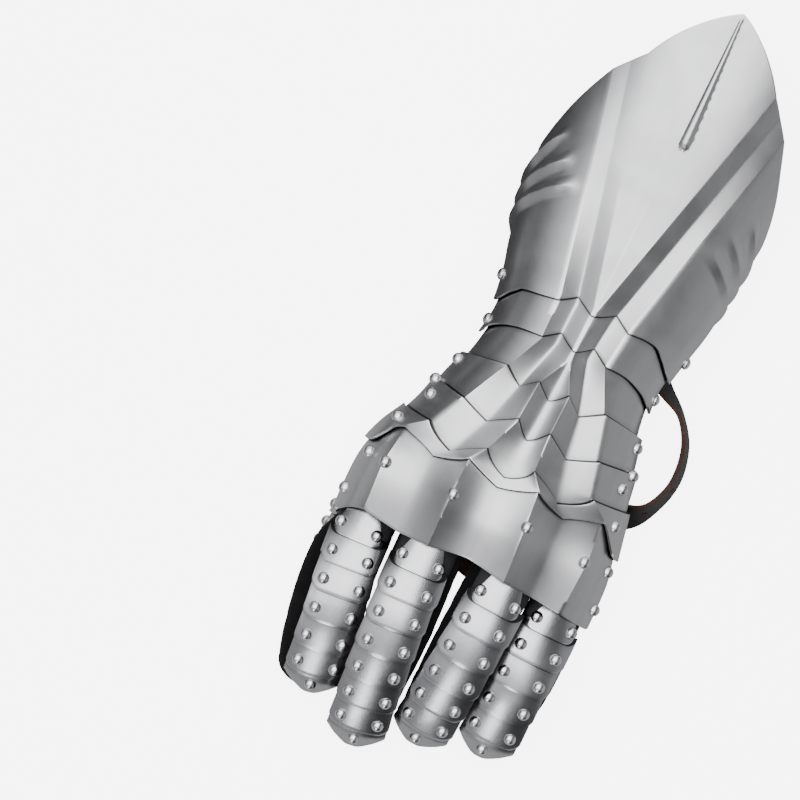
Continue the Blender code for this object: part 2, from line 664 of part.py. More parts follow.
def lateral_angle(digit, distance, lateral):
    """The angle on the outward half of a digit where a place of its scales is lateral from the middle."""
    half = half_width_at(digit, distance, 1 if lateral < 0 else 2, True)
    return acos(min(max(lateral / half, -0.98), 0.98))


TUBE_SIDES = 10
TUBE_SHARES = (0.0, 0.18, 0.36, 0.54, 0.7, 0.84, 0.93, 0.98, 1.0)


def make_glove_finger(digit):
    def where(column, row):
        angle = 2 * pi * column / TUBE_SIDES
        return digit_point(digit, digit["length"] * TUBE_SHARES[row], angle, 0.0)[0]

    name = "glove_" + digit["name"]
    tube = add_object(name, sheet(name, TUBE_SIDES, len(TUBE_SHARES) - 1, where), "suede")
    thicken(tube, SUEDE)
    return tube


def make_strip(digit, start, end, half_width):
    """The leather strip under the scales."""
    columns, rows = 4, 7

    def where(column, row):
        distance = end + (start - end) * row / rows
        lateral = half_width * (2 * column / columns - 1)
        angle = lateral_angle(digit, distance, lateral)
        return digit_point(digit, distance, angle, STRIP_GAP + STRIP_LEATHER, True)[0]

    name = digit["name"] + "_strip"
    strip = add_object(name, sheet(name, columns, rows, where), "leather")
    thicken(strip, STRIP_LEATHER)
    return strip


SCALE_COLUMNS = (-1.0, -0.75, -0.3, 0.3, 0.75, 1.0)
CORNER_SETBACK = (3.0, 0.4, 0.0, 0.0, 0.4, 3.0)
POINT_SETBACK = (9.5, 6.8, 0.6, 0.6, 6.8, 9.5)
RIVET_SETBACK = 0.42  # how far the rivets stand behind the free end, as a share of a scale's pitch
POINTED_RIVET_SETBACK = 0.55
POINTED_LIFT = 0.2  # the pointed scale stands this much further off
FIRST_SCALE_WIDTH = 0.84  # the first scale's free end, as a share of the other scales' width
FIRST_SCALE_ROOT = 0.46  # and its root end, which the knuckle plate covers
THUMB_SCALE_WIDTH = 0.58
THUMB_STRIP_WIDTH = 0.5
TIP_MARGIN = 4.0  # from the last scale's free end to the fingertip
THUMB_TIP_MARGIN = 6.0
STRIP_TIP_MARGIN = 7.0  # from the strip's end to the last scale's free end
STRIP_SIDE_MARGIN = 0.8
STRIP_START = 2.0


def make_scale(digit, number, free_end, pitch, half_width, root_half_width, pointed):
    """One scale: its root end lies under the one before, and its free end stands over the one after."""
    base = STRIP_GAP + STRIP_LEATHER + GAP + SCALE_STEEL + (POINTED_LIFT if pointed else 0.0)
    root_end = free_end - pitch - SCALE_OVERLAP
    setback = POINT_SETBACK if pointed else CORNER_SETBACK

    def where(column, row):
        distance = root_end if row else free_end - setback[column]
        rise = SCALE_LIFT * (distance - root_end) / (pitch + SCALE_OVERLAP)
        half = root_half_width if row else half_width
        angle = lateral_angle(digit, distance, half * SCALE_COLUMNS[column])
        return digit_point(digit, distance, angle, base + rise, True)[0]

    name = f"{digit['name']}_scale_{number}"
    mesh = sheet(name, len(SCALE_COLUMNS) - 1, 1, where)
    skin = skin_of(mesh)
    scale = add_object(name, mesh, "steel")
    thicken(scale, SCALE_STEEL)
    heads = bmesh.new()
    to_rivet = min(half_width - RIVET_RADIUS * SMALL_RIVET - RIVET_MARGIN, SCALE_RIVET_SPACING)
    for lateral in (0.0,) if pointed else (-to_rivet, to_rivet):
        distance = free_end - pitch * (POINTED_RIVET_SETBACK if pointed else RIVET_SETBACK)
        rise = SCALE_LIFT * (distance - root_end) / (pitch + SCALE_OVERLAP)
        angle = lateral_angle(digit, distance, lateral)
        spot = digit_point(digit, distance, angle, base + rise, True)[0]
        rivet(heads, *nearest_on(skin, spot), SMALL_RIVET)
    combine(scale, add_object(name + "_rivets", to_mesh(heads, name + "_rivets")), "UNION")
    return scale


def make_finger(name):
    digit = make_digit(name)
    make_glove_finger(digit)
    last = digit["length"] - TIP_MARGIN
    make_strip(digit, STRIP_START, last - STRIP_TIP_MARGIN, SCALE_HALF_WIDTH - STRIP_SIDE_MARGIN)
    count = finger_value(name, "scales")
    pitch = (last - SCALE_START) / count
    for n in range(count):
        half_width = SCALE_HALF_WIDTH * (FIRST_SCALE_WIDTH if n == 0 else 1.0)
        root_half_width = SCALE_HALF_WIDTH * (FIRST_SCALE_ROOT if n == 0 else 1.0)
        free_end = SCALE_START + pitch * (n + 1)
        make_scale(digit, n + 1, free_end, pitch, half_width, root_half_width, n == count - 1)


# ---- Thumb ------------------------------------------------------------------------------------------
BASE_PLATE_ANGLES = (140.0, 64.0)
BASE_PLATE_START = 7.0
BASE_PLATE_END = 56.0
BASE_PLATE_FLARE = 2.0
BASE_PLATE_LIFT = 6.0
LINING_LEATHER = 1.2
LINING_MARGIN = 7.5  # the plate reaches past the lining
BASE_RIVET_ANGLES = (62.0, 118.0)
BASE_RIVET_MARGIN = 6.0


def make_base_sheet(digit, name, lift, end, finish, wall):
    """The plate or the lining at the root of the thumb, flared towards the wrist."""
    columns, rows = 8, 5
    first, last = BASE_PLATE_ANGLES

    def where(column, row):
        distance = end + (BASE_PLATE_START - end) * row / rows
        angle = radians(first + (last - first) * column / columns)
        flare = BASE_PLATE_FLARE * (row / rows) ** 2
        return digit_point(digit, distance, angle, lift + flare)[0]

    piece = add_object(name, sheet(name, columns, rows, where), finish)
    thicken(piece, wall)
    return piece


def make_thumb():
    digit = make_digit("thumb")
    make_glove_finger(digit)
    shell = BASE_PLATE_LIFT
    lining_end = BASE_PLATE_END - LINING_MARGIN
    make_base_sheet(digit, "thumb_base_lining", shell - STEEL - GAP, lining_end, "brown", LINING_LEATHER)
    plate = make_base_sheet(digit, "thumb_base_plate", shell, BASE_PLATE_END, "steel", STEEL)
    heads = bmesh.new()
    for angle in BASE_RIVET_ANGLES:
        spot = digit_point(digit, BASE_PLATE_END - BASE_RIVET_MARGIN, radians(angle), shell)
        rivet(heads, *spot, SMALL_RIVET)
    combine(plate, add_object("thumb_base_rivets", to_mesh(heads, "thumb_base_rivets")), "UNION")
    last = digit["length"] - THUMB_TIP_MARGIN
    make_strip(digit, BASE_PLATE_END + GAP * 2, last - STRIP_START, SCALE_HALF_WIDTH * THUMB_STRIP_WIDTH)
    pitch = (last - THUMB_SCALE_START) / THUMB_SCALES
    half_width = SCALE_HALF_WIDTH * THUMB_SCALE_WIDTH
    for n in range(THUMB_SCALES):
        free_end = THUMB_SCALE_START + pitch * (n + 1)
        make_scale(digit, n + 1, free_end, pitch, half_width, half_width, n == THUMB_SCALES - 1)
    return digit


# ---- Glove ------------------------------------------------------------------------------------------
GLOVE_SIDES = 20
THUMB_ROOM_END = 62.0
THUMB_ROOM = 0.5  # between the thumb and the hand round it
WAY_INSET = 1.5  # the ways into the digits are this much smaller than the digits
WAY_DEPTH = 4.0
WAY_REACH = 6.0
GLOVE_STATIONS = (58.0, 34.0, 10.0, -14.0, -36.0, -54.0, -70.0, -85.0, -100.0, -113.0, -125.0, -137.5)


def glove_ring(y, inset, shift=0.0):
    left, right, top, sole = (read(GLOVE_SECTIONS, y, column, True) for column in range(1, 5))

    def ring(column):
        x, z, _, _ = oval((left + right) / 2, (right - left) / 2, (top + sole) / 2, (top - sole) / 2,
                          2 * pi * column / GLOVE_SIDES, -inset)
        return x, y + shift, z

    return ring


def digit_plug(name, digit, start, end, lift, reach=0.0):
    """A closed rod along a digit's route, to cut room or a way in; reach carries its first end back."""
    steps_along = 8

    def ring_at(distance, back):
        def ring(column):
            point = digit_point(digit, distance, 2 * pi * column / TUBE_SIDES, lift)[0]
            return point + back
        return ring

    along = digit["route"][0] - digit["route"][1]
    rings = [ring_at(start, along.normalized() * reach)]
    rings += [ring_at(start + (end - start) * n / steps_along, Vector()) for n in range(steps_along + 1)]
    return closed_tube(name, TUBE_SIDES, rings)


def make_glove_hand(thumb):
    """The hand and sleeve: a closed skin, hollowed, with ways into the digits and room for the thumb."""
    outer = closed_tube("glove_hand", GLOVE_SIDES, [glove_ring(y, 0.0) for y in GLOVE_STATIONS], "suede")
    inner_rings = [glove_ring(58.0, SUEDE, 4.0)]
    inner_rings += [glove_ring(y, SUEDE) for y in GLOVE_STATIONS[:-1]]
    inner_rings.append(glove_ring(GLOVE_STATIONS[-1] + SUEDE, SUEDE))
    inner = closed_tube("glove_hollow", GLOVE_SIDES, inner_rings)
    wall = THUMB_ROOM + SUEDE
    combine(outer, digit_plug("thumb_room", thumb, 0.0, THUMB_ROOM_END, THUMB_ROOM, THUMB_ROOM), "DIFFERENCE")
    combine(inner, digit_plug("thumb_room_wall", thumb, 0.0, THUMB_ROOM_END, wall, wall), "DIFFERENCE")
    combine(outer, inner, "DIFFERENCE")
    combine(outer, digit_plug("thumb_way", thumb, 0.0, 1.0, -WAY_INSET, WAY_REACH), "DIFFERENCE")
    for name in FINGERS:
        digit = make_digit(name)
        way = digit_plug(name + "_way", digit, 0.0, WAY_DEPTH, -WAY_INSET, WAY_REACH)
        combine(outer, way, "DIFFERENCE")
    return outer


# ---- Straps and buckle ------------------------------------------------------------------------------
def ribbon_frame(route, n):
    """A strap's middle point, and the directions along, across and through it, at a route's point."""
    point = Vector(route[n][:3])
    along = Vector(route[min(n + 1, len(route) - 1)][:3]) - Vector(route[max(n - 1, 0)][:3])
    along.normalize()
    flat = Vector((0, 0, 1)).cross(along).normalized()
    turn = radians(route[n][3])
    across = flat * cos(turn) + along.cross(flat) * sin(turn)
    return point, along, across, along.cross(across)


def make_ribbon(name, rows, count, width, thickness):
    route = smooth_route(rows, count)

    def where(column, row):
        point, _, across, _ = ribbon_frame(route, column)
        pointed = 0.35 if name == "wrist_strap" and column == count else 1.0
        return point + across * width * pointed * (row - 0.5)

    strap = add_object(name, sheet(name, count, 1, where), "leather")
    thicken(strap, thickness, 0.0)
    return strap, route


def punch(strap, route, shares, radius, length):
    """Holes through a strap, at shares of its route."""
    holes = bmesh.new()
    for share in shares:
        point, _, _, through = ribbon_frame(route, round(share * (len(route) - 1)))
        rod(holes, point - through * length, point + through * length, radius)
    combine(strap, add_object(strap.name + "_holes", to_mesh(holes, strap.name + "_holes")), "DIFFERENCE")


def make_straps():
    strap, route = make_ribbon("wrist_strap", WRIST_STRAP_ROUTE, 60, WRIST_STRAP_WIDTH, STRAP_LEATHER)
    punch(strap, route, WRIST_STRAP_HOLES, 1.6, 4.0)
    tongue_hole = bmesh.new()
    start, end = tongue_points()[-3:-1]
    rod(tongue_hole, start + (start - end) * 0.1, end, 1.6)
    combine(strap, add_object("tongue_hole", to_mesh(tongue_hole, "tongue_hole")), "DIFFERENCE")
    make_ribbon("palm_strap", PALM_STRAP_ROUTE, 18, PALM_STRAP_WIDTH, PALM_STRAP_LEATHER)


def make_buckle_strap():
    """The buckle's leather: it hangs inside the lames and goes round the bar, with a slit for the tongue."""
    route = smooth_route(BUCKLE_STRAP_ROUTE, 26)

    def where(column, row):
        x, z = route[column]
        return x, BUCKLE_Y + BUCKLE_STRAP_WIDTH * (row - 0.5), z

    strap = add_object("buckle_strap", sheet("buckle_strap", 26, 1, where), "leather")
    thicken(strap, BUCKLE_STRAP_LEATHER, 0.0)
    slit = bmesh.new()
    centre = Matrix.Translation(place((BUCKLE_BAR[0], BUCKLE_Y, BUCKLE_BAR[1])))
    bmesh.ops.create_cube(slit, size=MM, matrix=centre @ Matrix.Diagonal((*TONGUE_SLIT, 1.0)))
    combine(strap, add_object("tongue_slit", to_mesh(slit, "tongue_slit")), "DIFFERENCE")


def make_cuff_strap():
    """The wide strap, from tab to tab inside the cuff: it is pressed flat where it rests."""
    columns, rows = 18, 2
    first, last = CUFF_STRAP_ANGLES

    def where(column, row):
        y = CUFF_STRAP_ENDS[1] + (CUFF_STRAP_ENDS[0] - CUFF_STRAP_ENDS[1]) * row / rows
        angle = first + (last - first) * column / columns
        point = envelope(y, angle, cuff_lift(y) - STEEL - GAP * 2)[0]
        point.z = max(point.z, 0.0)
        return point

    strap = add_object("cuff_strap", sheet("cuff_strap", columns, rows, where), "leather")
    thicken(strap, CUFF_STRAP_LEATHER)
    return strap


def wire(name, points, radius, finish, cyclic):
    """A round wire along points in millimetres, as a mesh."""
    curve = bpy.data.curves.new(name, "CURVE")
    curve.dimensions = "3D"
    curve.bevel_depth = radius * MM
    curve.bevel_resolution = 1
    curve.use_fill_caps = True
    line = curve.splines.new("POLY")
    line.points.add(len(points) - 1)
    for spot, point in zip(line.points, points):
        spot.co = (*place(point), 1.0)
    line.use_cyclic_u = cyclic
    guide = bpy.data.objects.new(name, curve)
    CUTTERS.objects.link(guide)
    bpy.context.view_layer.update()
    evaluated = guide.evaluated_get(bpy.context.evaluated_depsgraph_get())
    mesh = bpy.data.meshes.new_from_object(evaluated)
    bpy.data.objects.remove(guide, do_unlink=True)
    shape = bmesh.new()
    shape.from_mesh(mesh)
    bmesh.ops.remove_doubles(shape, verts=shape.verts, dist=0.00001)
    shape.to_mesh(mesh)
    shape.free()
    return add_object(name, mesh, finish)


def tongue_points():
    """The tongue's line: an eye round the bar, then down through the strap and under the roller."""
    roller, bar = Vector((ROLLER[0], BUCKLE_Y, ROLLER[1])), Vector((BUCKLE_BAR[0], BUCKLE_Y, BUCKLE_BAR[1]))
    eye = BUCKLE_WIRE + 0.3 + TONGUE_WIRE
    under = roller - Vector((0, 0, ROLLER_RADIUS + TONGUE_WIRE + 0.35))
    points = [bar + Vector((cos(a), 0, sin(a))) * eye for a in (radians(110 - 36 * n) for n in range(8))]
    points.append(bar.lerp(roller, 0.36) + Vector((0.3, 0, -0.8)))
    return points + [under + Vector((0.8, 0, 0)), under - Vector((1.5, 0, 0))]


def make_buckle():
    """A wire frame from the roller to the bar, the tongue across it, and the leather that holds the bar."""
    (roller_x, roller_z), (bar_x, bar_z) = ROLLER, BUCKLE_BAR
    corner = 2.2
    points = []
    for n in range(20):
        turn = 2 * pi * (n + 0.5) / 20
        u = copysign(abs(cos(turn)) ** 0.45, cos(turn)) * 0.5 + 0.5
        v = copysign(abs(sin(turn)) ** 0.45, sin(turn)) * BUCKLE_HALF_WIDTH
        points.append((roller_x + (bar_x - roller_x) * u, BUCKLE_Y + v, roller_z + (bar_z - roller_z) * u))
    frame = wire("buckle_frame", points, BUCKLE_WIRE, "nickel", True)
    roller = bmesh.new()
    reach = BUCKLE_HALF_WIDTH - corner
    rod(roller, (roller_x, BUCKLE_Y - reach, roller_z), (roller_x, BUCKLE_Y + reach, roller_z), ROLLER_RADIUS)
    combine(frame, add_object("buckle_roller", to_mesh(roller, "buckle_roller")), "UNION")
    wire("buckle_tongue", tongue_points(), TONGUE_WIRE, "nickel", False)


def hang(name, y, members):
    """An empty on a pivot's axis, which carries the pieces that swing on it."""
    pivot = bpy.data.objects.new(name, None)
    PARTS.objects.link(pivot)
    pivot.location = place((ORIGIN.x, y, PIVOT_Z))
    for member in members:
        bpy.data.objects[member].parent = pivot
        bpy.data.objects[member].matrix_parent_inverse = Matrix.Translation(-pivot.location)


def build():
    thumb = make_thumb()
    make_plates()
    for name in FINGERS:
        make_finger(name)
    make_glove_hand(thumb)
    make_straps()
    make_cuff_strap()
    make_buckle()
    make_buckle_strap()
    hang("cuff_pivot", CUFF_PIVOT_Y, ("cuff_plate", "cuff_strap"))
    hang("hand_pivot", HAND_PIVOT_Y, ("wrist_lame",))


clear_scene()
PARTS = new_collection("gauntlet")
CUTTERS = new_collection("cutters")
FINISHES = {
    "steel": new_material("steel", STEEL_GREY, 0.32, 1.0),
    "suede": new_material("suede", BLACK_SUEDE, 0.95, 0.0),
    "leather": new_material("leather", DARK_LEATHER, 0.5, 0.0),
    "brown": new_material("brown", BROWN_LEATHER, 0.7, 0.0),
    "nickel": new_material("nickel", NICKEL, 0.2, 1.0),
}
build()
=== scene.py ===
from math import acos, copysign, cos, degrees, exp, floor, hypot, pi, radians, sin, sqrt

import bmesh
import bpy
from mathutils import Matrix, Vector, noise
from mathutils.bvhtree import BVHTree


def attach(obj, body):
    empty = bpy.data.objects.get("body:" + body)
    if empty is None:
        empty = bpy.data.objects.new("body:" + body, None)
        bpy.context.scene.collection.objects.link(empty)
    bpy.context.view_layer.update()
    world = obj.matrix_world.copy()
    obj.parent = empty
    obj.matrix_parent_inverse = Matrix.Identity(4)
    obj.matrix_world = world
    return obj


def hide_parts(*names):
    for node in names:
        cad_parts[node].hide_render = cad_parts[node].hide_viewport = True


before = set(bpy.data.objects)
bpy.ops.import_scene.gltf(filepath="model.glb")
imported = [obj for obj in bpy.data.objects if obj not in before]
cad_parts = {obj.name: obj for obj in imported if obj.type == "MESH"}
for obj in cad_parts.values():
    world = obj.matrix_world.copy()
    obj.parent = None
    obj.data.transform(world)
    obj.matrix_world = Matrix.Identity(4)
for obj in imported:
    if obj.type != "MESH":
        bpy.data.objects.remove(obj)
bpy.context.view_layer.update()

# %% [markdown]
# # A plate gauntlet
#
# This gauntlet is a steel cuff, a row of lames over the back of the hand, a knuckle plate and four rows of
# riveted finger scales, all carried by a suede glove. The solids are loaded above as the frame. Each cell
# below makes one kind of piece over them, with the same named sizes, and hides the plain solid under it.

# %% [markdown]
# ## Sizes
#
# The tables are in millimetres in the armourer's own frame: x across the hand with the thumb on the minus
# side, y towards the point of the cuff, z up. `place` turns a point of the tables into metres in the frame
# of the solids. Keeping sizes in one short table for each idea makes the shape easy to change later.

# %% Units and places
MM = 0.001
ORIGIN = Vector((2.333, -53.22, 0.0))


def place(point):
    """A point of the tables, in metres in the frame of the solids."""
    return (Vector(point) - ORIGIN) * MM


def unplace(point):
    """A point of the solids' frame, in the tables' millimetres."""
    return Vector(point) / MM + ORIGIN


def read(rows, key, column, smooth):
    """The value of a column at a key, on a smooth curve or on straight lines through the rows."""
    rows = sorted(rows)
    key = min(max(key, rows[0][0]), rows[-1][0])
    n = next(i for i in range(len(rows) - 1) if key <= rows[i + 1][0])
    low, high = rows[n], rows[n + 1]
    span = high[0] - low[0]
    t = (key - low[0]) / span
    if not smooth:
        return low[column] + (high[column] - low[column]) * t
    before, after = rows[max(n - 1, 0)], rows[min(n + 2, len(rows) - 1)]
    slope_low = (high[column] - before[column]) / (high[0] - before[0])
    slope_high = (after[column] - low[column]) / (after[0] - low[0])
    return (
        low[column] * (1 + 2 * t) * (1 - t) ** 2
        + high[column] * t * t * (3 - 2 * t)
        + span * (slope_low * t * (1 - t) ** 2 - slope_high * t * t * (1 - t))
    )


def ease(t):
    """0 before 0, 1 after 1, and an even curve between."""
    t = min(max(t, 0.0), 1.0)
    return t * t * (3 - 2 * t)


print("the cuff's point is at", [round(c, 4) for c in place((0.5, 145.0, 93.0))])

# %% The envelope that every plate follows: sections along the arm, and the routes of the creases
ROUNDNESS = 2.4
#     y    left   right  crown  waist  keel
SECTIONS = (
    (150.0, -66.0, 68.0, 93.0, 40.0, -1.6),
    (100.0, -63.0, 64.5, 84.5, 38.5, -1.6),
    (56.0, -58.6, 60.0, 75.0, 36.0, -1.6),
    (37.0, -56.5, 58.0, 70.5, 34.5, -1.6),
    (19.0, -52.5, 54.8, 65.5, 33.5, -1.6),
    (5.0, -48.5, 52.0, 61.5, 32.5, -1.6),
    (-8.0, -44.4, 48.6, 58.5, 31.5, -1.6),
    (-24.0, -41.9, 45.2, 57.2, 31.0, -1.6),
    (-34.0, -42.2, 44.2, 57.2, 31.0, -1.6),
    (-53.0, -45.5, 46.5, 59.0, 30.0, -1.6),
    (-68.0, -51.0, 51.0, 60.5, 29.0, -1.6),
    (-80.0, -55.5, 54.5, 62.0, 28.0, -1.6),
    (-89.0, -60.0, 57.0, 63.5, 27.5, -1.6),
    (-100.0, -66.0, 59.5, 65.0, 27.0, -1.6),
    (-113.0, -70.5, 62.5, 67.5, 26.5, -1.6),
    (-125.0, -72.0, 65.0, 67.0, 26.0, -1.6),
    (-150.0, -71.5, 66.0, 60.5, 26.0, -1.6),
)
# Crests and valleys in turn from the thumb side: y, x and the height of the fold.
CREASES = (
    ((150, -55.6, 0.9), (60, -33.8, 1.1), (-9, -17.0, 2.0), (-31, -16.4, 2.2), (-51, -25.0, 2.4),
     (-73, -36.0, 2.4), (-90.5, -45.5, 2.4), (-98, -55.0, 2.0), (-118, -57.0, 3.4), (-150, -56.0, 2.0)),
    ((150, -48.5, 0.3), (60, -26.1, 0.2), (-9, -9.0, -1.2), (-31, -9.5, -1.6), (-57.5, -17.0, -2.0),
     (-79, -23.5, -2.2), (-99.5, -33.0, -2.0), (-104.5, -39.0, -1.8), (-118, -39.5, -2.2),
     (-150, -38.0, -1.8)),
    ((150, -41.9, 0.3), (60, -18.6, 0.4), (-9, -0.7, 2.0), (-31, -0.9, 2.2), (-37, -1.2, 2.2),
     (-51, -8.6, 2.4), (-73, -10.0, 2.4), (-90.5, -17.0, 2.4), (-98, -22.6, 2.0), (-118, -23.0, 3.4),
     (-150, -22.0, 2.0)),
    ((150, 0.5, 0.0), (-9, 0.2, 2.0), (-31, -0.3, 2.2), (-37, -0.3, 2.2), (-57.5, -0.7, -1.8),
     (-79, -1.9, -2.0), (-99.5, -4.0, -1.8), (-104.5, -5.0, -1.8), (-118, -4.0, -2.2),
     (-150, -2.0, -1.8)),
    ((150, 39.5, 1.6), (-9, 1.1, 2.0), (-31, 0.3, 2.2), (-37, 0.6, 2.2), (-51, 6.8, 2.4),
     (-73, 6.5, 2.4), (-90.5, 7.5, 2.4), (-98, 13.5, 2.0), (-118, 15.0, 3.4), (-150, 18.0, 2.0)),
    ((150, 47.0, 0.5), (60, 26.1, 0.2), (-9, 10.0, -1.2), (-31, 7.4, -1.6), (-57.5, 15.5, -2.0),
     (-79, 19.0, -2.2), (-99.5, 24.0, -2.0), (-104.5, 30.0, -1.8), (-118, 31.0, -2.2),
     (-150, 33.0, -1.8)),
    ((150, 55.4, 1.4), (-9, 18.6, 2.0), (-31, 16.0, 2.2), (-51, 25.0, 2.4), (-73, 32.0, 2.4),
     (-90.5, 37.5, 2.4), (-98, 47.0, 2.0), (-118, 47.6, 3.4), (-150, 48.0, 2.0)),
)
SHOULDER = 0.3


def oval(middle, half, waist, height, angle, lift):
    """A point and its outward normal on a squarish oval, as x and z, lifted off it."""
    px = copysign(abs(cos(angle)) ** (2 / ROUNDNESS), cos(angle))
    pz = copysign(abs(sin(angle)) ** (2 / ROUNDNESS), sin(angle))
    nx = copysign(abs(px) ** (ROUNDNESS - 1), px) / half
    nz = copysign(abs(pz) ** (ROUNDNESS - 1), pz) / height
    size = hypot(nx, nz)
    return middle + half * px + nx / size * lift, waist + height * pz + nz / size * lift, nx / size, nz / size


def section(y):
    """Left, right, crown, waist and keel of the envelope at a station."""
    return [read(SECTIONS, y, column, True) for column in range(1, 6)]


def envelope(y, angle, lift):
    """A point and its outward normal on the envelope; 90 degrees is the top and 180 the thumb side."""
    left, right, crown, waist, keel = section(y)
    turn = radians(angle)
    height = crown - waist if sin(turn) >= 0 else waist - keel
    x, z, nx, nz = oval((left + right) / 2, (right - left) / 2, waist, height, turn, lift)
    return Vector((x, y, z)), Vector((nx, 0, nz))


def angle_at(x, y):
    """The angle of the envelope's upper half at x."""
    left, right = section(y)[:2]
    across = (x - (left + right) / 2) / ((right - left) / 2)
    across = min(max(across, -1.0), 1.0)
    return degrees(acos(copysign(abs(across) ** (ROUNDNESS / 2), across)))


print("at the wrist the envelope is", round(section(-24)[1] - section(-24)[0], 1), "mm wide")

# %% [markdown]
# ## How the sheets are made
#
# A plate is one skin of even thickness. A grid from `create_grid` is laid out in columns and rows, and a
# function says where each of its corners lies. The grid keeps the shape easy to follow, and a Solidify
# modifier then turns the skin into a wall, with its outer face exactly where the function put it. The grid's
# columns also make a UV map: U runs across the piece and V along it, for finishes that follow the surface.

# %% A grid laid out by a function, and what is done to every finished piece
MADE = {}


def grid_sheet(columns, rows, where):
    """A bmesh grid whose corner (column, row) lies at where(column, row), with a UV map of its shares."""
    shape = bmesh.new()
    bmesh.ops.create_grid(shape, x_segments=columns, y_segments=rows, size=1.0)
    uv = shape.loops.layers.uv.new("shares")
    for face in shape.faces:
        for loop in face.loops:
            loop[uv].uv = ((loop.vert.co.x + 1) / 2, (loop.vert.co.y + 1) / 2)
    for vert in shape.verts:
        column = round((vert.co.x + 1) / 2 * columns)
        row = round((vert.co.y + 1) / 2 * rows)
        vert.co = place(where(column, row))
    return shape


UNDER_REACH = 9.0


def nearness(distance):
    """A distance in front of an edge as UNDER_REACH at the edge, less in front of it and more beneath it."""
    return min(max(UNDER_REACH - distance, 0.0), UNDER_REACH * 2)


def finish_piece(name, shape, finishes, body, nodes, smooth=35.0):
    """Turns a bmesh into a piece with its finishes, its body and the solids it stands for."""
    mesh = bpy.data.meshes.new(name)
    shape.to_mesh(mesh)
    shape.free()
    mesh.shade_smooth()
    if smooth is not None:
        mesh.set_sharp_from_angle(angle=radians(smooth))
    piece = bpy.data.objects.new(name, mesh)
    bpy.context.scene.collection.objects.link(piece)
    for finish in finishes:
        mesh.materials.append(finish)
    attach(piece, body)
    if nodes:
        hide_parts(*nodes)
    MADE[name] = piece
    return piece


def add_wall(piece, thickness, offset=-1.0):
    """A wall of even thickness: -1 puts it under the skin and 0 on both sides of it."""
    wall = piece.modifiers.new("wall", "SOLIDIFY")
    wall.thickness = thickness * MM
    wall.offset = offset
    wall.use_even_offset = True
    return wall


def add_bevel(piece, width, segments=2, angle=40.0):
    """Softens the cut edges of a wall."""
    soft = piece.modifiers.new("soft_edges", "BEVEL")
    soft.width = width * MM
    soft.segments = segments
    soft.limit_method = "ANGLE"
    soft.angle_limit = radians(angle)
    soft.harden_normals = False
    return soft


def tree_of(shape):
    """A tree for finding places on a skin."""
    return BVHTree.FromBMesh(shape)


def on_skin(tree, point):
    """The place on a skin nearest to a point of the tables, in millimetres, and its normal."""
    spot, normal, _, _ = tree.find_nearest(place(point))
    return unplace(spot), normal


print("one millimetre is", MM, "m, and walls are made with Solidify")

# %% [markdown]
# ## Finishes
#
# The steel is satin: it is rubbed along the arm with a fine abrasive, so it has very thin lines that way, a
# faint grain, and broad soft dents from the hammer. The cut edges are rubbed brightest. The crests are
# lighter too, partly rubbed and partly a painted highlight; the valleys get painted shade, and a band in
# front of each overlapping edge a painted shadow. The same marks serve the plates, the scales and the rivets
# with other values, so they are one shader node group. Suede, leather grain and rubbed edges are groups too.
# A group gives masks and heights, and each material keeps its own shader.

# %% Small helpers for node trees
def new_group(name, inputs, outputs):
    """A shader node group with named sockets: each is a name, a kind and, for inputs, a default value."""
    group = bpy.data.node_groups.new(name, "ShaderNodeTree")
    for label, kind, value in inputs:
        socket = group.interface.new_socket(label, in_out="INPUT", socket_type="NodeSocket" + kind)
        if value is not None:
            socket.default_value = value
    for label in outputs:
        group.interface.new_socket(label, in_out="OUTPUT", socket_type="NodeSocketFloat")
    return group, group.nodes.new("NodeGroupInput"), group.nodes.new("NodeGroupOutput")


def add_node(tree, kind, inputs=(), **settings):
    """A node with its settings, whose inputs are links from sockets or plain values."""
    node = tree.nodes.new("ShaderNode" + kind)
    for key, value in settings.items():
        setattr(node, key, value)
    for key, value in dict(inputs).items():
        if isinstance(value, bpy.types.NodeSocket):
            tree.links.new(value, node.inputs[key])
        else:
            node.inputs[key].default_value = value
    return node


def reckon(tree, operation, first, second=0.5, clamp=False):
    """One step of arithmetic, as its output socket."""
    return add_node(tree, "Math", {0: first, 1: second}, operation=operation, use_clamp=clamp).outputs[0]


def span(tree, value, low, high, to_low, to_high, kind="LINEAR"):
    """A value moved from one range to another, clamped."""
    inputs = {"Value": value, "From Min": low, "From Max": high, "To Min": to_low, "To Max": to_high}
    return add_node(tree, "MapRange", inputs, interpolation_type=kind).outputs["Result"]


def blend_colours(tree, share, first, second):
    """A colour between two, as its output socket."""
    mix = tree.nodes.new("ShaderNodeMix")
    mix.data_type = "RGBA"
    for slot, value in ((0, share), (6, first), (7, second)):
        if isinstance(value, bpy.types.NodeSocket):
            tree.links.new(value, mix.inputs[slot])
        else:
            mix.inputs[slot].default_value = value if slot == 0 else (*value, 1.0)
    return mix.outputs[2]


def stretched(tree, position, scale):
    """Coordinates stretched by a scale for each axis."""
    return add_node(tree, "Mapping", {"Vector": position, "Scale": scale}).outputs["Vector"]


def noise_on(tree, vector, scale, detail=2.0, roughness=0.5, distortion=0.0):
    """The height of a noise, as its output socket."""
    inputs = {"Vector": vector, "Scale": scale, "Detail": detail, "Roughness": roughness,
              "Distortion": distortion}
    return add_node(tree, "TexNoise", inputs).outputs["Fac"]


print("node helpers are ready")

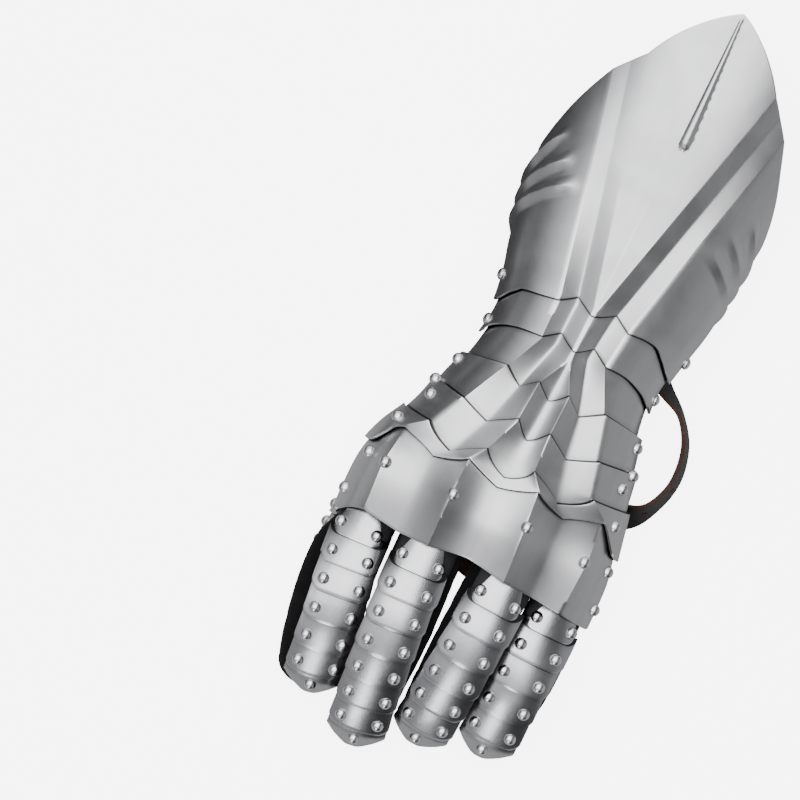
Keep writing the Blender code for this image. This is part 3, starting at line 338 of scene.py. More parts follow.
# %% Shared effects: rubbed steel, worn edges, suede and leather grain
def make_rubbed_steel():
    """Lines rubbed along the arm, a fine grain and broad soft dents."""
    group, given, result = new_group(
        "rubbed_steel", (("Position", "Vector", None), ("Lines", "Float", 1.0), ("Dents", "Float", 1.0)),
        ("Tone", "Gloss", "Height"))
    position = given.outputs["Position"]
    lines = noise_on(group, stretched(group, position, (2600.0, 46.0, 2600.0)), 1.0, 3.0, 0.6)
    haze = noise_on(group, stretched(group, position, (260.0, 30.0, 260.0)), 1.0, 2.0, 0.55)
    grain = noise_on(group, position, 2100.0, 2.0, 0.6)
    cloud = noise_on(group, position, 34.0, 3.0, 0.55, 0.6)
    dents = noise_on(group, position, 52.0, 1.0, 0.4)
    fine = reckon(group, "MULTIPLY", reckon(group, "ADD", lines, reckon(group, "MULTIPLY", haze, 0.9)), 0.5)
    tone = reckon(group, "ADD", reckon(group, "MULTIPLY", fine, 0.55), reckon(group, "MULTIPLY", cloud, 0.3))
    tone = reckon(group, "ADD", tone, reckon(group, "MULTIPLY", grain, 0.15))
    height = reckon(group, "MULTIPLY", lines, given.outputs["Lines"])
    height = reckon(group, "ADD", height, reckon(group, "MULTIPLY", grain, 0.5))
    height = reckon(group, "ADD", height, reckon(group, "MULTIPLY", dents, given.outputs["Dents"]))
    group.links.new(tone, result.inputs["Tone"])
    group.links.new(cloud, result.inputs["Gloss"])
    group.links.new(height, result.inputs["Height"])
    return group


def make_worn_edges():
    """1 on the border of a sheet and 0 a little way in, from the sheet's shares."""
    group, given, result = new_group(
        "worn_edges", (("Shares", "Vector", None), ("Across", "Float", 0.02), ("Along", "Float", 0.02)),
        ("Edge",))
    parts = add_node(group, "SeparateXYZ", {0: given.outputs["Shares"]})
    masks = []
    for axis, width in ((0, "Across"), (1, "Along")):
        from_middle = reckon(group, "ABSOLUTE", reckon(group, "SUBTRACT", parts.outputs[axis], 0.5))
        inside = reckon(group, "SUBTRACT", 0.5, from_middle)
        share = reckon(group, "DIVIDE", inside, given.outputs[width])
        masks.append(reckon(group, "SUBTRACT", 1.0, share, True))
    edge = reckon(group, "MAXIMUM", masks[0], masks[1])
    group.links.new(reckon(group, "POWER", edge, 1.6), result.inputs["Edge"])
    return group


def make_suede_nap():
    """Short brushed fibres, and broad patches where the nap lies another way."""
    group, given, result = new_group(
        "suede_nap", (("Position", "Vector", None), ("Fibre", "Float", 1500.0)), ("Nap", "Patches", "Height"))
    position = given.outputs["Position"]
    fibre = add_node(group, "TexNoise", {"Vector": position, "Scale": given.outputs["Fibre"], "Detail": 4.0,
                                         "Roughness": 0.7}).outputs["Fac"]
    fluff = noise_on(group, position, 420.0, 3.0, 0.6, 0.8)
    patches = noise_on(group, position, 48.0, 4.0, 0.6, 1.2)
    nap = reckon(group, "ADD", reckon(group, "MULTIPLY", fibre, 0.6), reckon(group, "MULTIPLY", fluff, 0.4))
    group.links.new(nap, result.inputs["Nap"])
    group.links.new(patches, result.inputs["Patches"])
    group.links.new(reckon(group, "ADD", fibre, fluff), result.inputs["Height"])
    return group


def make_leather_grain():
    """The small cells of a smooth grain, pores, and slow changes of tone."""
    group, given, result = new_group(
        "leather_grain", (("Position", "Vector", None), ("Cells", "Float", 900.0)),
        ("Tone", "Creases", "Height"))
    position = given.outputs["Position"]
    cells = add_node(group, "TexVoronoi", {"Vector": position, "Scale": given.outputs["Cells"]},
                     feature="DISTANCE_TO_EDGE").outputs["Distance"]
    creases = span(group, cells, 0.0, 0.16, 1.0, 0.0, "SMOOTHSTEP")
    tone = noise_on(group, position, 60.0, 4.0, 0.55, 0.5)
    pores = noise_on(group, position, 1700.0, 2.0, 0.6)
    height = reckon(group, "SUBTRACT", reckon(group, "MULTIPLY", pores, 0.35), creases)
    group.links.new(tone, result.inputs["Tone"])
    group.links.new(creases, result.inputs["Creases"])
    group.links.new(height, result.inputs["Height"])
    return group


RUBBED_STEEL = make_rubbed_steel()
WORN_EDGES = make_worn_edges()
SUEDE_NAP = make_suede_nap()
LEATHER_GRAIN = make_leather_grain()
print("shared effects:", [group.name for group in bpy.data.node_groups])

# %% The materials themselves
def new_finish(name, roughness, metallic=0.0, bump=0.2, bump_distance=0.0001, **constants):
    """A material with its shader, its object coordinates and a bump; constants go on the shader's sockets."""
    material = bpy.data.materials.new(name)
    material.use_nodes = True
    tree = material.node_tree
    shader = tree.nodes["Principled BSDF"]
    shader.inputs["Roughness"].default_value = roughness
    shader.inputs["Metallic"].default_value = metallic
    for key, value in constants.items():
        shader.inputs[key.replace("_", " ")].default_value = value
    relief = add_node(tree, "Bump", {"Strength": bump, "Distance": bump_distance})
    tree.links.new(relief.outputs["Normal"], shader.inputs["Normal"])
    position = tree.nodes.new("ShaderNodeTexCoord").outputs["Object"]
    return material, tree, shader, relief, position


def use_group(tree, group, **inputs):
    """A shared effect placed in a material with its own values."""
    node = tree.nodes.new("ShaderNodeGroup")
    node.node_tree = group
    for key, value in inputs.items():
        if isinstance(value, bpy.types.NodeSocket):
            tree.links.new(value, node.inputs[key])
        else:
            node.inputs[key].default_value = value
    return node


SHADOW_LINE_WIDTH = 0.9  # of the painted shadow line along an overlap, in millimetres
# the soft painted shadow in front of an overlap: its width in millimetres, and how far it darkens
SHADE_WIDTH = 4.0
SHADE = 0.3

VALLEY_PAINTED_SHADE = 0.12  # how far the painted shade darkens the valleys
SHADOW_LINE_DEPTH = 0.92  # how far the painted shadow line in front of an overlap darkens


def steel_finish(name, dark, light, gloss, lines, dents, bump, edges=(0.004, 0.006)):
    """Satin steel in two greys; rubbed edges, crests rubbed and painted as highlight, painted shade in
    valleys and before overlaps.
    """
    material, tree, shader, relief, position = new_finish(name, gloss[0], 1.0, bump, 0.0001)
    marks = use_group(tree, RUBBED_STEEL, Position=position, Lines=lines, Dents=dents)
    shares = tree.nodes.new("ShaderNodeUVMap")
    shares.uv_map = "shares"
    edge = use_group(tree, WORN_EDGES, Shares=shares.outputs[0], Across=edges[0], Along=edges[1]).outputs[0]
    fold = add_node(tree, "Attribute", attribute_name="fold").outputs["Fac"]
    crest = span(tree, fold, 0.55, 1.0, 0.0, 1.0, "SMOOTHSTEP")
    valley = span(tree, fold, -1.0, -0.4, 1.0, 0.0, "SMOOTHSTEP")
    # edges are rubbed brighter; crests are lightened partly as rubbed steel and partly as a painted highlight
    rubbed = reckon(tree, "MAXIMUM", edge, reckon(tree, "MULTIPLY", crest, 0.55))
    tone = span(tree, marks.outputs["Tone"], 0.3, 0.7, 0.0, 1.0)
    colour = blend_colours(tree, tone, dark, light)
    colour = blend_colours(tree, rubbed, colour, tuple(min(c * 1.18, 0.93) for c in light))
    # painted shade in the valleys of the folds
    painted_valley_shade = reckon(tree, "MULTIPLY", valley, VALLEY_PAINTED_SHADE)
    colour = blend_colours(tree, painted_valley_shade, colour, tuple(c * 0.55 for c in dark))
    # painted shadow in front of an overlapping edge: a soft dark band, and a dark line along the edge
    under = add_node(tree, "Attribute", attribute_name="under").outputs["Fac"]
    shade = span(tree, under, UNDER_REACH - SHADE_WIDTH, UNDER_REACH, 0.0, SHADE, "SMOOTHSTEP")
    line = span(tree, under, UNDER_REACH - SHADOW_LINE_WIDTH, UNDER_REACH - SHADOW_LINE_WIDTH * 0.4, 0.0, SHADOW_LINE_DEPTH,
                "SMOOTHSTEP")
    colour = blend_colours(tree, shade, colour, tuple(c * 0.4 for c in dark))
    colour = blend_colours(tree, line, colour, (0.02, 0.02, 0.022))
    tree.links.new(colour, shader.inputs["Base Color"])
    rough = span(tree, marks.outputs["Gloss"], 0.3, 0.7, gloss[0], gloss[1])
    rough = reckon(tree, "SUBTRACT", rough, reckon(tree, "MULTIPLY", rubbed, 0.1))
    tree.links.new(rough, shader.inputs["Roughness"])
    tree.links.new(marks.outputs["Height"], relief.inputs["Height"])
    return material


def suede_finish():
    """Black suede: charcoal where the nap is brushed up, with a soft sheen."""
    material, tree, shader, relief, position = new_finish(
        "black_suede", 0.95, 0.0, 0.55, 0.0004, Sheen_Weight=0.03, Sheen_Roughness=0.6,
        Specular_IOR_Level=0.1, Sheen_Tint=(0.75, 0.74, 0.8, 1.0))
    nap = use_group(tree, SUEDE_NAP, Position=position, Fibre=1500.0)
    seam = add_node(tree, "Attribute", attribute_name="fold").outputs["Fac"]
    colour = blend_colours(tree, span(tree, nap.outputs["Nap"], 0.35, 0.7, 0.0, 1.0),
                           (0.0022, 0.002, 0.0022), (0.0085, 0.008, 0.0088))
    colour = blend_colours(tree, span(tree, nap.outputs["Patches"], 0.52, 0.72, 0.0, 0.6), colour,
                           (0.013, 0.012, 0.013))
    colour = blend_colours(tree, span(tree, seam, 0.5, 1.0, 0.0, 0.55), colour, (0.02, 0.018, 0.019))
    tree.links.new(colour, shader.inputs["Base Color"])
    tree.links.new(nap.outputs["Height"], relief.inputs["Height"])
    return material


def leather_finish(name, dark, light, gloss, cells, bump, coat=0.0):
    """Leather with a fine grain: darker in the creases of the grain and lighter where it is handled."""
    material, tree, shader, relief, position = new_finish(
        name, gloss[0], 0.0, bump, 0.00018, Coat_Weight=coat, Coat_Roughness=0.32, Specular_IOR_Level=0.45)
    grain = use_group(tree, LEATHER_GRAIN, Position=position, Cells=cells)
    colour = blend_colours(tree, span(tree, grain.outputs["Tone"], 0.35, 0.68, 0.0, 1.0), dark, light)
    colour = blend_colours(tree, reckon(tree, "MULTIPLY", grain.outputs["Creases"], 0.45), colour,
                           tuple(c * 0.4 for c in dark))
    tree.links.new(colour, shader.inputs["Base Color"])
    roughness = span(tree, grain.outputs["Tone"], 0.35, 0.68, gloss[0], gloss[1])
    tree.links.new(roughness, shader.inputs["Roughness"])
    tree.links.new(grain.outputs["Height"], relief.inputs["Height"])
    return material


def raw_finish(name, dark, light, fibre):
    """Raw leather, as on a cut edge or a flesh side: loose brown fibres."""
    material, tree, shader, relief, position = new_finish(name, 0.9, 0.0, 0.6, 0.0003, Specular_IOR_Level=0.2)
    nap = use_group(tree, SUEDE_NAP, Position=position, Fibre=fibre)
    colour = blend_colours(tree, span(tree, nap.outputs["Nap"], 0.35, 0.68, 0.0, 1.0), dark, light)
    colour = blend_colours(tree, span(tree, nap.outputs["Patches"], 0.5, 0.75, 0.0, 0.6), colour,
                           tuple(c * 0.5 for c in dark))
    tree.links.new(colour, shader.inputs["Base Color"])
    tree.links.new(nap.outputs["Height"], relief.inputs["Height"])
    return material


def inside_finish():
    """The black lacquer on the inside of the plates, a little uneven and glossy."""
    material, tree, shader, relief, position = new_finish(
        "black_lacquer", 0.22, 0.0, 0.35, 0.0006, Coat_Weight=0.6, Coat_Roughness=0.12)
    marks = use_group(tree, RUBBED_STEEL, Position=position, Lines=0.15, Dents=1.6)
    colour = blend_colours(tree, span(tree, marks.outputs["Tone"], 0.3, 0.7, 0.0, 1.0),
                           (0.004, 0.004, 0.0045), (0.012, 0.012, 0.014))
    tree.links.new(colour, shader.inputs["Base Color"])
    tree.links.new(span(tree, marks.outputs["Gloss"], 0.3, 0.7, 0.16, 0.34), shader.inputs["Roughness"])
    tree.links.new(marks.outputs["Height"], relief.inputs["Height"])
    return material


STEEL_FINISH = steel_finish("satin_steel", (0.58, 0.585, 0.6), (0.70, 0.705, 0.715), (0.3, 0.4),
                            0.5, 1.1, 0.22)
SCALE_FINISH = steel_finish("scale_steel", (0.52, 0.525, 0.545), (0.70, 0.705, 0.725), (0.19, 0.27),
                            0.8, 1.0, 0.3, (0.03, 0.04))
RIVET_FINISH = steel_finish("rivet_steel", (0.56, 0.565, 0.575), (0.72, 0.72, 0.73), (0.27, 0.36),
                            0.3, 0.6, 0.15, (0.0001, 0.0001))
NICKEL_FINISH = steel_finish("polished_nickel", (0.62, 0.61, 0.59), (0.76, 0.75, 0.73), (0.10, 0.2),
                             0.25, 0.5, 0.15, (0.0001, 0.0001))
EDGE_FINISH = steel_finish("cut_steel_edge", (0.62, 0.62, 0.63), (0.80, 0.80, 0.81), (0.2, 0.3),
                           0.8, 0.4, 0.3, (0.0001, 0.0001))
LACQUER_FINISH = inside_finish()
SUEDE_FINISH = suede_finish()
STRAP_FINISH = leather_finish("dark_smooth_leather", (0.012, 0.0118, 0.013), (0.026, 0.0255, 0.028),
                              (0.4, 0.54), 1100.0, 0.35)
STRIP_FINISH = leather_finish("strip_leather", (0.012, 0.0118, 0.0145), (0.027, 0.0265, 0.033), (0.44, 0.6),
                              1000.0, 0.4)
BROWN_FINISH = leather_finish("brown_leather", (0.075, 0.032, 0.02), (0.16, 0.078, 0.05), (0.55, 0.7),
                              800.0, 0.4)
FLESH_FINISH = raw_finish("flesh_side", (0.075, 0.034, 0.026), (0.155, 0.082, 0.066), 1300.0)
RAW_EDGE_FINISH = raw_finish("raw_cut_edge", (0.05, 0.022, 0.016), (0.12, 0.06, 0.045), 1700.0)
print("finishes:", [material.name for material in bpy.data.materials if material.use_nodes][-13:])

# %% [markdown]
# ## Walls and rivets
#
# Sheet metal is seen on three sides: the rubbed face, the lacquered back and the bright cut edge. A Solidify
# modifier gives each its own material, and a Bevel takes the sharpness off the edge. A rivet head is turned:
# half of its outline is spun once about its middle, and copies of it are then set on the finished plate, each
# turned to the plate's own slope. That is quicker than modelling ninety heads, and they all match.

# %% A wall with its own back and edge
def walled(shape, finishes, thickness, offset=-1.0, soft=0.25, cutter=None):
    """A skin made into a wall; the finishes are those of its face, its back and its cut edge."""
    mesh = bpy.data.meshes.new("skin")
    shape.to_mesh(mesh)
    shape.free()
    for finish in finishes:
        mesh.materials.append(finish)
    draft = bpy.data.objects.new("draft", mesh)
    bpy.context.scene.collection.objects.link(draft)
    wall = add_wall(draft, thickness, offset)
    wall.material_offset = 1
    wall.material_offset_rim = 2
    if soft:
        add_bevel(draft, soft, 2, 50.0)
    if cutter is not None:
        cut = draft.modifiers.new("cut", "BOOLEAN")
        cut.object = cutter
        cut.operation = "DIFFERENCE"
    return take_shape(draft, (cutter,))


def take_shape(draft, cutters=()):
    """The shape that an object's modifiers make, as a bmesh; the object and its cutters are then removed."""
    bpy.context.view_layer.update()
    result = draft.evaluated_get(bpy.context.evaluated_depsgraph_get())
    shape = bmesh.new()
    shape.from_mesh(result.to_mesh())
    result.to_mesh_clear()
    for thing in (draft, *cutters):
        if thing is not None:
            bpy.data.objects.remove(thing, do_unlink=True)
    return shape


print("a wall has a face, a back and a cut edge")

# %% The rivet head, turned once
RIVET_RADIUS = 3.1
#               radius and height of the outline, as shares of the rivet's radius
RIVET_OUTLINE = ((0.0, -0.16), (0.9, -0.16), (1.0, 0.02), (1.0, 0.14), (0.93, 0.33), (0.8, 0.5), (0.6, 0.65),
                 (0.34, 0.75), (0.0, 0.79))
RIVET_STEPS = 22


def turned_outline(outline, steps):
    """A closed solid of revolution about Z, of unit size."""
    shape = bmesh.new()
    corners = [shape.verts.new((radius, 0.0, height)) for radius, height in outline]
    edges = [shape.edges.new(pair) for pair in zip(corners, corners[1:])]
    bmesh.ops.spin(shape, geom=corners + edges, cent=(0, 0, 0), axis=(0, 0, 1), dvec=(0, 0, 0),
                   angle=2 * pi, steps=steps, use_merge=True, use_duplicate=False)
    bmesh.ops.remove_doubles(shape, verts=shape.verts, dist=0.0001)
    bmesh.ops.recalc_face_normals(shape, faces=shape.faces)
    mesh = bpy.data.meshes.new("turned")
    shape.to_mesh(mesh)
    shape.free()
    return mesh


RIVET_HEAD = turned_outline(RIVET_OUTLINE, RIVET_STEPS)


def set_rivet(shape, point, normal, radius, finish_index, head=None):
    """Adds a rivet head to a bmesh: it stands on a place of the tables and faces along the normal."""
    known_verts, known_faces = len(shape.verts), len(shape.faces)
    shape.from_mesh(head or RIVET_HEAD)
    shape.verts.ensure_lookup_table()
    shape.faces.ensure_lookup_table()
    turn = Vector(normal).to_track_quat("Z", "Y").to_matrix().to_4x4()
    move = Matrix.Translation(place(point)) @ turn @ Matrix.Scale(radius * MM, 4)
    bmesh.ops.transform(shape, matrix=move, verts=shape.verts[known_verts:])
    for face in shape.faces[known_faces:]:
        face.material_index = finish_index


print("a rivet head has", len(RIVET_HEAD.polygons), "faces")

# %% [markdown]
# ## Plates
#
# Every plate follows one envelope, and seven creases run over all of them, so that the ridges of one plate
# carry on over the next. On the real gauntlet a crest is a tight bend and a valley is a wide one, which a
# power curve between crest and valley gives. The zigzag of an edge comes from the creases as well: the edge
# has one height on a crest and another in a valley, and runs straight between them.

# %% The plates' outlines
def edge(creases, left, right):
    """An edge of a plate: y on the seven creases, and rows of (share of the side, y) down to each hem."""
    return {"creases": creases, "left": left, "right": right}


def steps(crest, valley):
    """The seven places of a zigzag edge."""
    return (crest, valley, crest, valley, crest, valley, crest)


STEEL = 1.2
CUFF_LIFT_LENGTH = 62.0
PLATES = {
    "cuff_plate": {
        "front": edge((-11.7, -6.4, -11.6, -11.8, -11.6, -6.4, -11.7),
                      ((0.1, -13.0), (0.26, -14.6), (0.32, -17.0), (0.54, -24.0), (0.72, -21.0), (1.0, -3.0)),
                      ((0.1, -11.0), (0.19, -12.0), (0.28, -16.0), (0.41, -21.0), (0.6, -24.0), (0.74, -20.0),
                       (1.0, -3.0))),
        "rear": edge((97.0, 104.0, 110.0, 145.0, 117.0, 110.0, 101.0),
                     ((0.23, 76.0), (0.46, 57.0), (0.7, 47.0), (0.87, 41.0), (1.0, 38.0)),
                     ((0.13, 87.0), (0.31, 71.0), (0.48, 57.0), (0.7, 47.0), (0.87, 41.0), (1.0, 38.0))),
        "hems": (222.0, -42.0), "lifts": (3.9, 0.0), "sharpness": 1.2,
    },
    "wrist_lame": {
        "front": edge((-30.5, -25.0, -30.4, -30.5, -30.4, -25.0, -30.5),
                      ((0.28, -32.0), (0.58, -36.0), (0.83, -41.0), (1.0, -39.0)),
                      ((0.19, -31.0), (0.38, -34.0), (0.76, -41.0), (1.0, -39.0))),
        "rear": edge((0.5, 5.0, 0.5, 0.5, 0.5, 5.0, 0.5),
                     ((0.3, -1.0), (0.7, -3.5), (1.0, -6.0)), ((0.3, -1.0), (0.7, -3.5), (1.0, -6.0))),
        "hems": (193.0, -13.0), "lifts": (2.3, 1.0), "sharpness": 1.2,
    },
    "hand_lame_1": {
        "front": edge(steps(-61.0, -66.0), ((0.3, -62.0), (1.0, -64.0)), ((0.3, -62.0), (1.0, -64.0))),
        "rear": edge((-18.5, -13.5, -18.5, -18.5, -18.5, -13.5, -18.5),
                     ((0.3, -20.0), (0.7, -25.5), (1.0, -27.0)), ((0.3, -20.0), (0.7, -25.5), (1.0, -27.0))),
        "hems": (193.0, -13.0), "lifts": (0.0, -0.6), "sharpness": 1.3,
    },
    "hand_lame_2": {
        "front": edge(steps(-81.0, -86.5), ((0.4, -81.0), (1.0, -82.0)), ((0.4, -81.0), (1.0, -82.0))),
        "rear": edge((-50.5, -57.0, -51.0, -57.5, -51.0, -58.0, -51.5),
                     ((0.4, -52.5), (0.8, -53.5), (1.0, -54.0)), ((0.4, -53.0), (0.8, -54.0), (1.0, -54.0))),
        "hems": (183.0, -12.0), "lifts": (0.0, 2.7), "sharpness": 1.3,
    },
    "hand_lame_3": {
        "front": edge(steps(-94.3, -101.8), ((0.3, -95.0), (1.0, -96.0)), ((0.3, -95.0), (1.0, -96.0))),
        "rear": edge((-73.5, -79.0, -71.3, -79.0, -71.2, -79.0, -73.0),
                     ((0.4, -71.5), (1.0, -71.0)), ((0.4, -71.5), (1.0, -71.0))),
        "hems": (182.0, -11.0), "lifts": (0.0, 3.0), "sharpness": 1.3,
    },
    "hand_lame_4": {
        "front": edge(steps(-98.0, -104.5), ((0.25, -101.0), (0.5, -110.0), (1.0, -111.0)),
                      ((0.25, -106.0), (0.45, -111.0), (1.0, -112.0))),
        "rear": edge(steps(-90.5, -99.5), ((0.25, -90.0), (1.0, -88.0)), ((0.25, -90.0), (1.0, -88.0))),
        "hems": (181.0, -10.0), "lifts": (2.6, 3.0), "sharpness": 1.5,
    },
    "knuckle_plate": {
        "front": edge((-142.5, -145.0, -144.5, -141.5, -144.6, -145.0, -146.5),
                      ((0.3, -144.5), (0.6, -148.0), (1.0, -146.0)),
                      ((0.3, -147.5), (0.6, -148.0), (1.0, -145.0))),
        "rear": edge(steps(-94.8, -102.3), ((0.3, -97.0), (1.0, -98.0)), ((0.3, -97.0), (1.0, -98.0))),
        "hems": (179.0, -9.0), "lifts": (0.0, 0.0), "sharpness": 1.7,
    },
}
#              columns between two creases, columns down a side, rows
FINENESS = {"cuff_plate": (16, 44, 140), "wrist_lame": (9, 22, 18), "hand_lame_1": (9, 22, 26),
            "hand_lame_2": (9, 20, 18), "hand_lame_3": (9, 20, 18), "hand_lame_4": (9, 20, 10),
            "knuckle_plate": (12, 24, 34)}
print(len(PLATES), "plates share", len(CREASES), "creases")

# %% Where a plate's corners lie
def edge_y(outline, column):
    """The y of an edge at a column: straight between creases, and a smooth curve down the sides."""
    kind, where = column
    if kind == "crease":
        n = min(int(where), len(CREASES) - 2)
        return outline["creases"][n] + (outline["creases"][n + 1] - outline["creases"][n]) * (where - n)
    nearest = outline["creases"][0 if kind == "left" else -1]
    return read(((0.0, nearest),) + outline[kind], where, 1, kind != "left" or len(outline[kind]) > 2)


def plate_lift(name, y, share):
    """How far a plate stands off the envelope: the cuff settles onto it, and the lames slope evenly."""
    front, rear = PLATES[name]["lifts"]
    if name == "cuff_plate":
        return front * (1 - ease((y + 12.0) / CUFF_LIFT_LENGTH))
    return front + (rear - front) * share


def fold_at(name, where, y):
    """Angle and height of the fold between two creases, and how near a crest (1) or a valley (-1) it is."""
    n = min(int(where), len(CREASES) - 2)
    share = where - n
    angles = [angle_at(read(CREASES[m], y, 1, False), y) for m in (n, n + 1)]
    heights = [read(CREASES[m], y, 2, False) for m in (n, n + 1)]
    rise = share if heights[1] > heights[0] else 1 - share
    low, high = sorted(heights)
    height = low + (high - low) * rise ** PLATES[name]["sharpness"]
    gap = abs(read(CREASES[n + 1], y, 1, False) - read(CREASES[n], y, 1, False))
    crest = max(0.0, 1 - (1 - rise) * gap / 1.8) * min(high / 1.6, 1.0)
    valley = max(0.0, 1 - rise * gap / 2.5) * min(-low / 1.6, 1.0)
    return angles[0] + (angles[1] - angles[0]) * share, height, max(crest, 0.0) - max(valley, 0.0)


def plate_spot(name, column, share):
    """A place on a plate's outer face: its y, its angle, its height off the envelope, and its crease."""
    plate = PLATES[name]
    front, rear = edge_y(plate["front"], column), edge_y(plate["rear"], column)
    y = front + (rear - front) * share
    lift = plate_lift(name, y, share)
    kind, where = column
    if kind == "crease":
        angle, height, crease = fold_at(name, where, y)
        return y, angle, lift + height, crease
    route = CREASES[0 if kind == "left" else -1]
    start = angle_at(read(route, y, 1, False), y)
    hem = plate["hems"][0 if kind == "left" else 1]
    height = read(route, y, 2, False)
    return (y, start + (hem - start) * where, lift + height * max(0.0, 1 - where / SHOULDER),
            max(0.0, 1 - where * 40) * min(height / 1.6, 1.0))


print("the knuckle plate's front edge is at",
      round(edge_y(PLATES["knuckle_plate"]["front"], ("crease", 3)), 1))

# %% [markdown]
# The cuff has more work in it than the lames. A tapering rib runs down from its point and ends round, and
# three long flutes sweep down each side. Both are raised on the grid itself, as a height added to the skin,
# because a bump in the material would not show on the outline or catch the light like a real flute.

# %% The rib and the flutes of the cuff
RIB = ((0.7, 142.0), (2.7, 79.5))  # x and y of its two ends
RIB_HALF_WIDTHS = (0.7, 2.7)
RIB_HEIGHTS = (0.5, 1.9)
#                 x and y of the tip, the angle and y where it has passed the widest place, and the far end
FLUTE_TIPS = ((50.0, 59.5), (43.5, 49.0), (37.0, 39.0))
FLUTE_TURN = (176.0, -21.0)
FLUTE_END = (214.0, -37.0)
FLUTE_HALF_WIDTH = 5.2
FLUTE_HEIGHTS = {-1: 2.9, 1: 1.5}  # on the thumb side and on the other


def rib_height(x, y):
    """The height of the rib over a place on the cuff."""
    start, end = Vector(RIB[0]), Vector(RIB[1])
    along = end - start
    share = min(max((Vector((x, y)) - start).dot(along) / along.length_squared, 0.0), 1.0)
    half_width = RIB_HALF_WIDTHS[0] + (RIB_HALF_WIDTHS[1] - RIB_HALF_WIDTHS[0]) * share
    away = (Vector((x, y)) - (start + along * share)).length / half_width
    height = RIB_HEIGHTS[0] + (RIB_HEIGHTS[1] - RIB_HEIGHTS[0]) * share
    return height * sqrt(max(1 - away ** 2, 0.0)) if away < 1 else 0.0


def flute_height(side, angle, y):
    """The height of the three flutes at a place on one side; the angle is counted as on the thumb side."""
    height = 0.0
    for tip_x, tip_y in FLUTE_TIPS:
        tip_angle = angle_at(side * tip_x, tip_y)
        tip_angle = tip_angle if side < 0 else 180 - tip_angle
        rows = ((tip_angle, tip_y), (FLUTE_TURN[0], tip_y + FLUTE_TURN[1]),
                (FLUTE_END[0], tip_y + FLUTE_END[1]))
        if angle < tip_angle - 8 or angle > FLUTE_END[0] + 6:
            continue
        middle = read(rows, angle, 1, True)
        along = (angle - tip_angle) / (FLUTE_END[0] - tip_angle)
        swell = ease((along + 0.09) / 0.2) * (1 - ease((along - 0.62) / 0.38))
        away = abs(y - middle) / FLUTE_HALF_WIDTH
        if away < 1:
            height = max(height, FLUTE_HEIGHTS[side] * swell * (1 - away) ** 1.25)
    return height


print("the rib stands", rib_height(2.6, 82.0), "mm high near its round end")

# %% The plates, one piece each, with their rivets
PIVOT_Z = 37.0
CUFF_PIVOT_Y = -11.5
HAND_PIVOT_Y = -34.0
PLATE_RIVETS = {
    "hand_lame_2": ((-46.0, -58.0), (45.9, -59.1)),
    "hand_lame_3": ((-50.5, -70.0), (49.4, -72.0), (-51.0, -79.0), (48.4, -79.6)),
    "hand_lame_4": ((-60.0, -96.0), (51.8, -98.0)),
    "knuckle_plate": ((-57.0, -117.6), (-23.0, -117.0), (15.0, -116.0), (47.6, -119.0), (-67.0, -116.5),
                      (-70.0, -137.5), (61.4, -118.4), (63.7, -137.8)),
}
TAB_RIVET_STATIONS = (6.0, 29.0)
TAB_RIVET_ANGLES = (211.0, -31.0)
PLATE_BODIES = {"cuff_plate": "cuff", "wrist_lame": "wrist_lame"}
PIVOTS = {"cuff_plate": ("wrist_lame", CUFF_PIVOT_Y), "wrist_lame": ("hand_lame_1", HAND_PIVOT_Y)}
PIN_RADIUS = 1.5
PIN_CLEARANCE = 0.5
WASHER_RADIUS = 2.6
RIB_COLUMNS = 40  # between the middle crease and its neighbours on the cuff, where the rib runs


def crowd_towards(count, end):
    """Shares from 0 to 1 whose steps get small towards one end, 0 or 1."""
    sizes = [1 / (1 + 7 * exp(-((abs(end - (n + 0.5) / count)) / 0.24) ** 2)) for n in range(count)]
    return [sum(sizes[:n]) / sum(sizes) for n in range(count)]


def plate_columns(name, between, down):
    """The columns of a plate from the thumb side; on the cuff they crowd together where the rib runs."""
    left = [("left", (down - n) / down) for n in range(down)]
    middle = []
    for n in range(len(CREASES) - 1):
        shares = [m / between for m in range(between)]
        if name == "cuff_plate" and n in (2, 3):
            shares = crowd_towards(RIB_COLUMNS, 1 if n == 2 else 0)
        middle += [("crease", n + share) for share in shares]
    right = [("right", (n + 1) / down) for n in range(down)]
    return left + middle + [("crease", float(len(CREASES) - 1))] + right


# Which edges of other plates lie over a plate.
EDGES_OVER = {
    "wrist_lame": (("cuff_plate", "front"),),
    "hand_lame_1": (("wrist_lame", "front"), ("hand_lame_2", "rear")),
    "hand_lame_2": (("hand_lame_3", "rear"),),
    "hand_lame_3": (("hand_lame_4", "rear"),),
    "knuckle_plate": (("hand_lame_4", "front"),),
}


def plate_under(name, column, y, angle):
    """How near a place on a plate lies to an edge that lies over it, as nearness gives it."""
    nearest = 0.0
    for over, end in EDGES_OVER.get(name, ()):
        kind, where = column
        if kind != "crease":
            start = angle_at(read(CREASES[0 if kind == "left" else -1], y, 1, False), y)
            hem = PLATES[over]["hems"][0 if kind == "left" else 1]
            where = min((angle - start) / (hem - start), 1.0)
        edge_at = edge_y(PLATES[over][end], (kind, where))
        nearest = max(nearest, nearness(edge_at - y if end == "front" else y - edge_at))
    return nearest


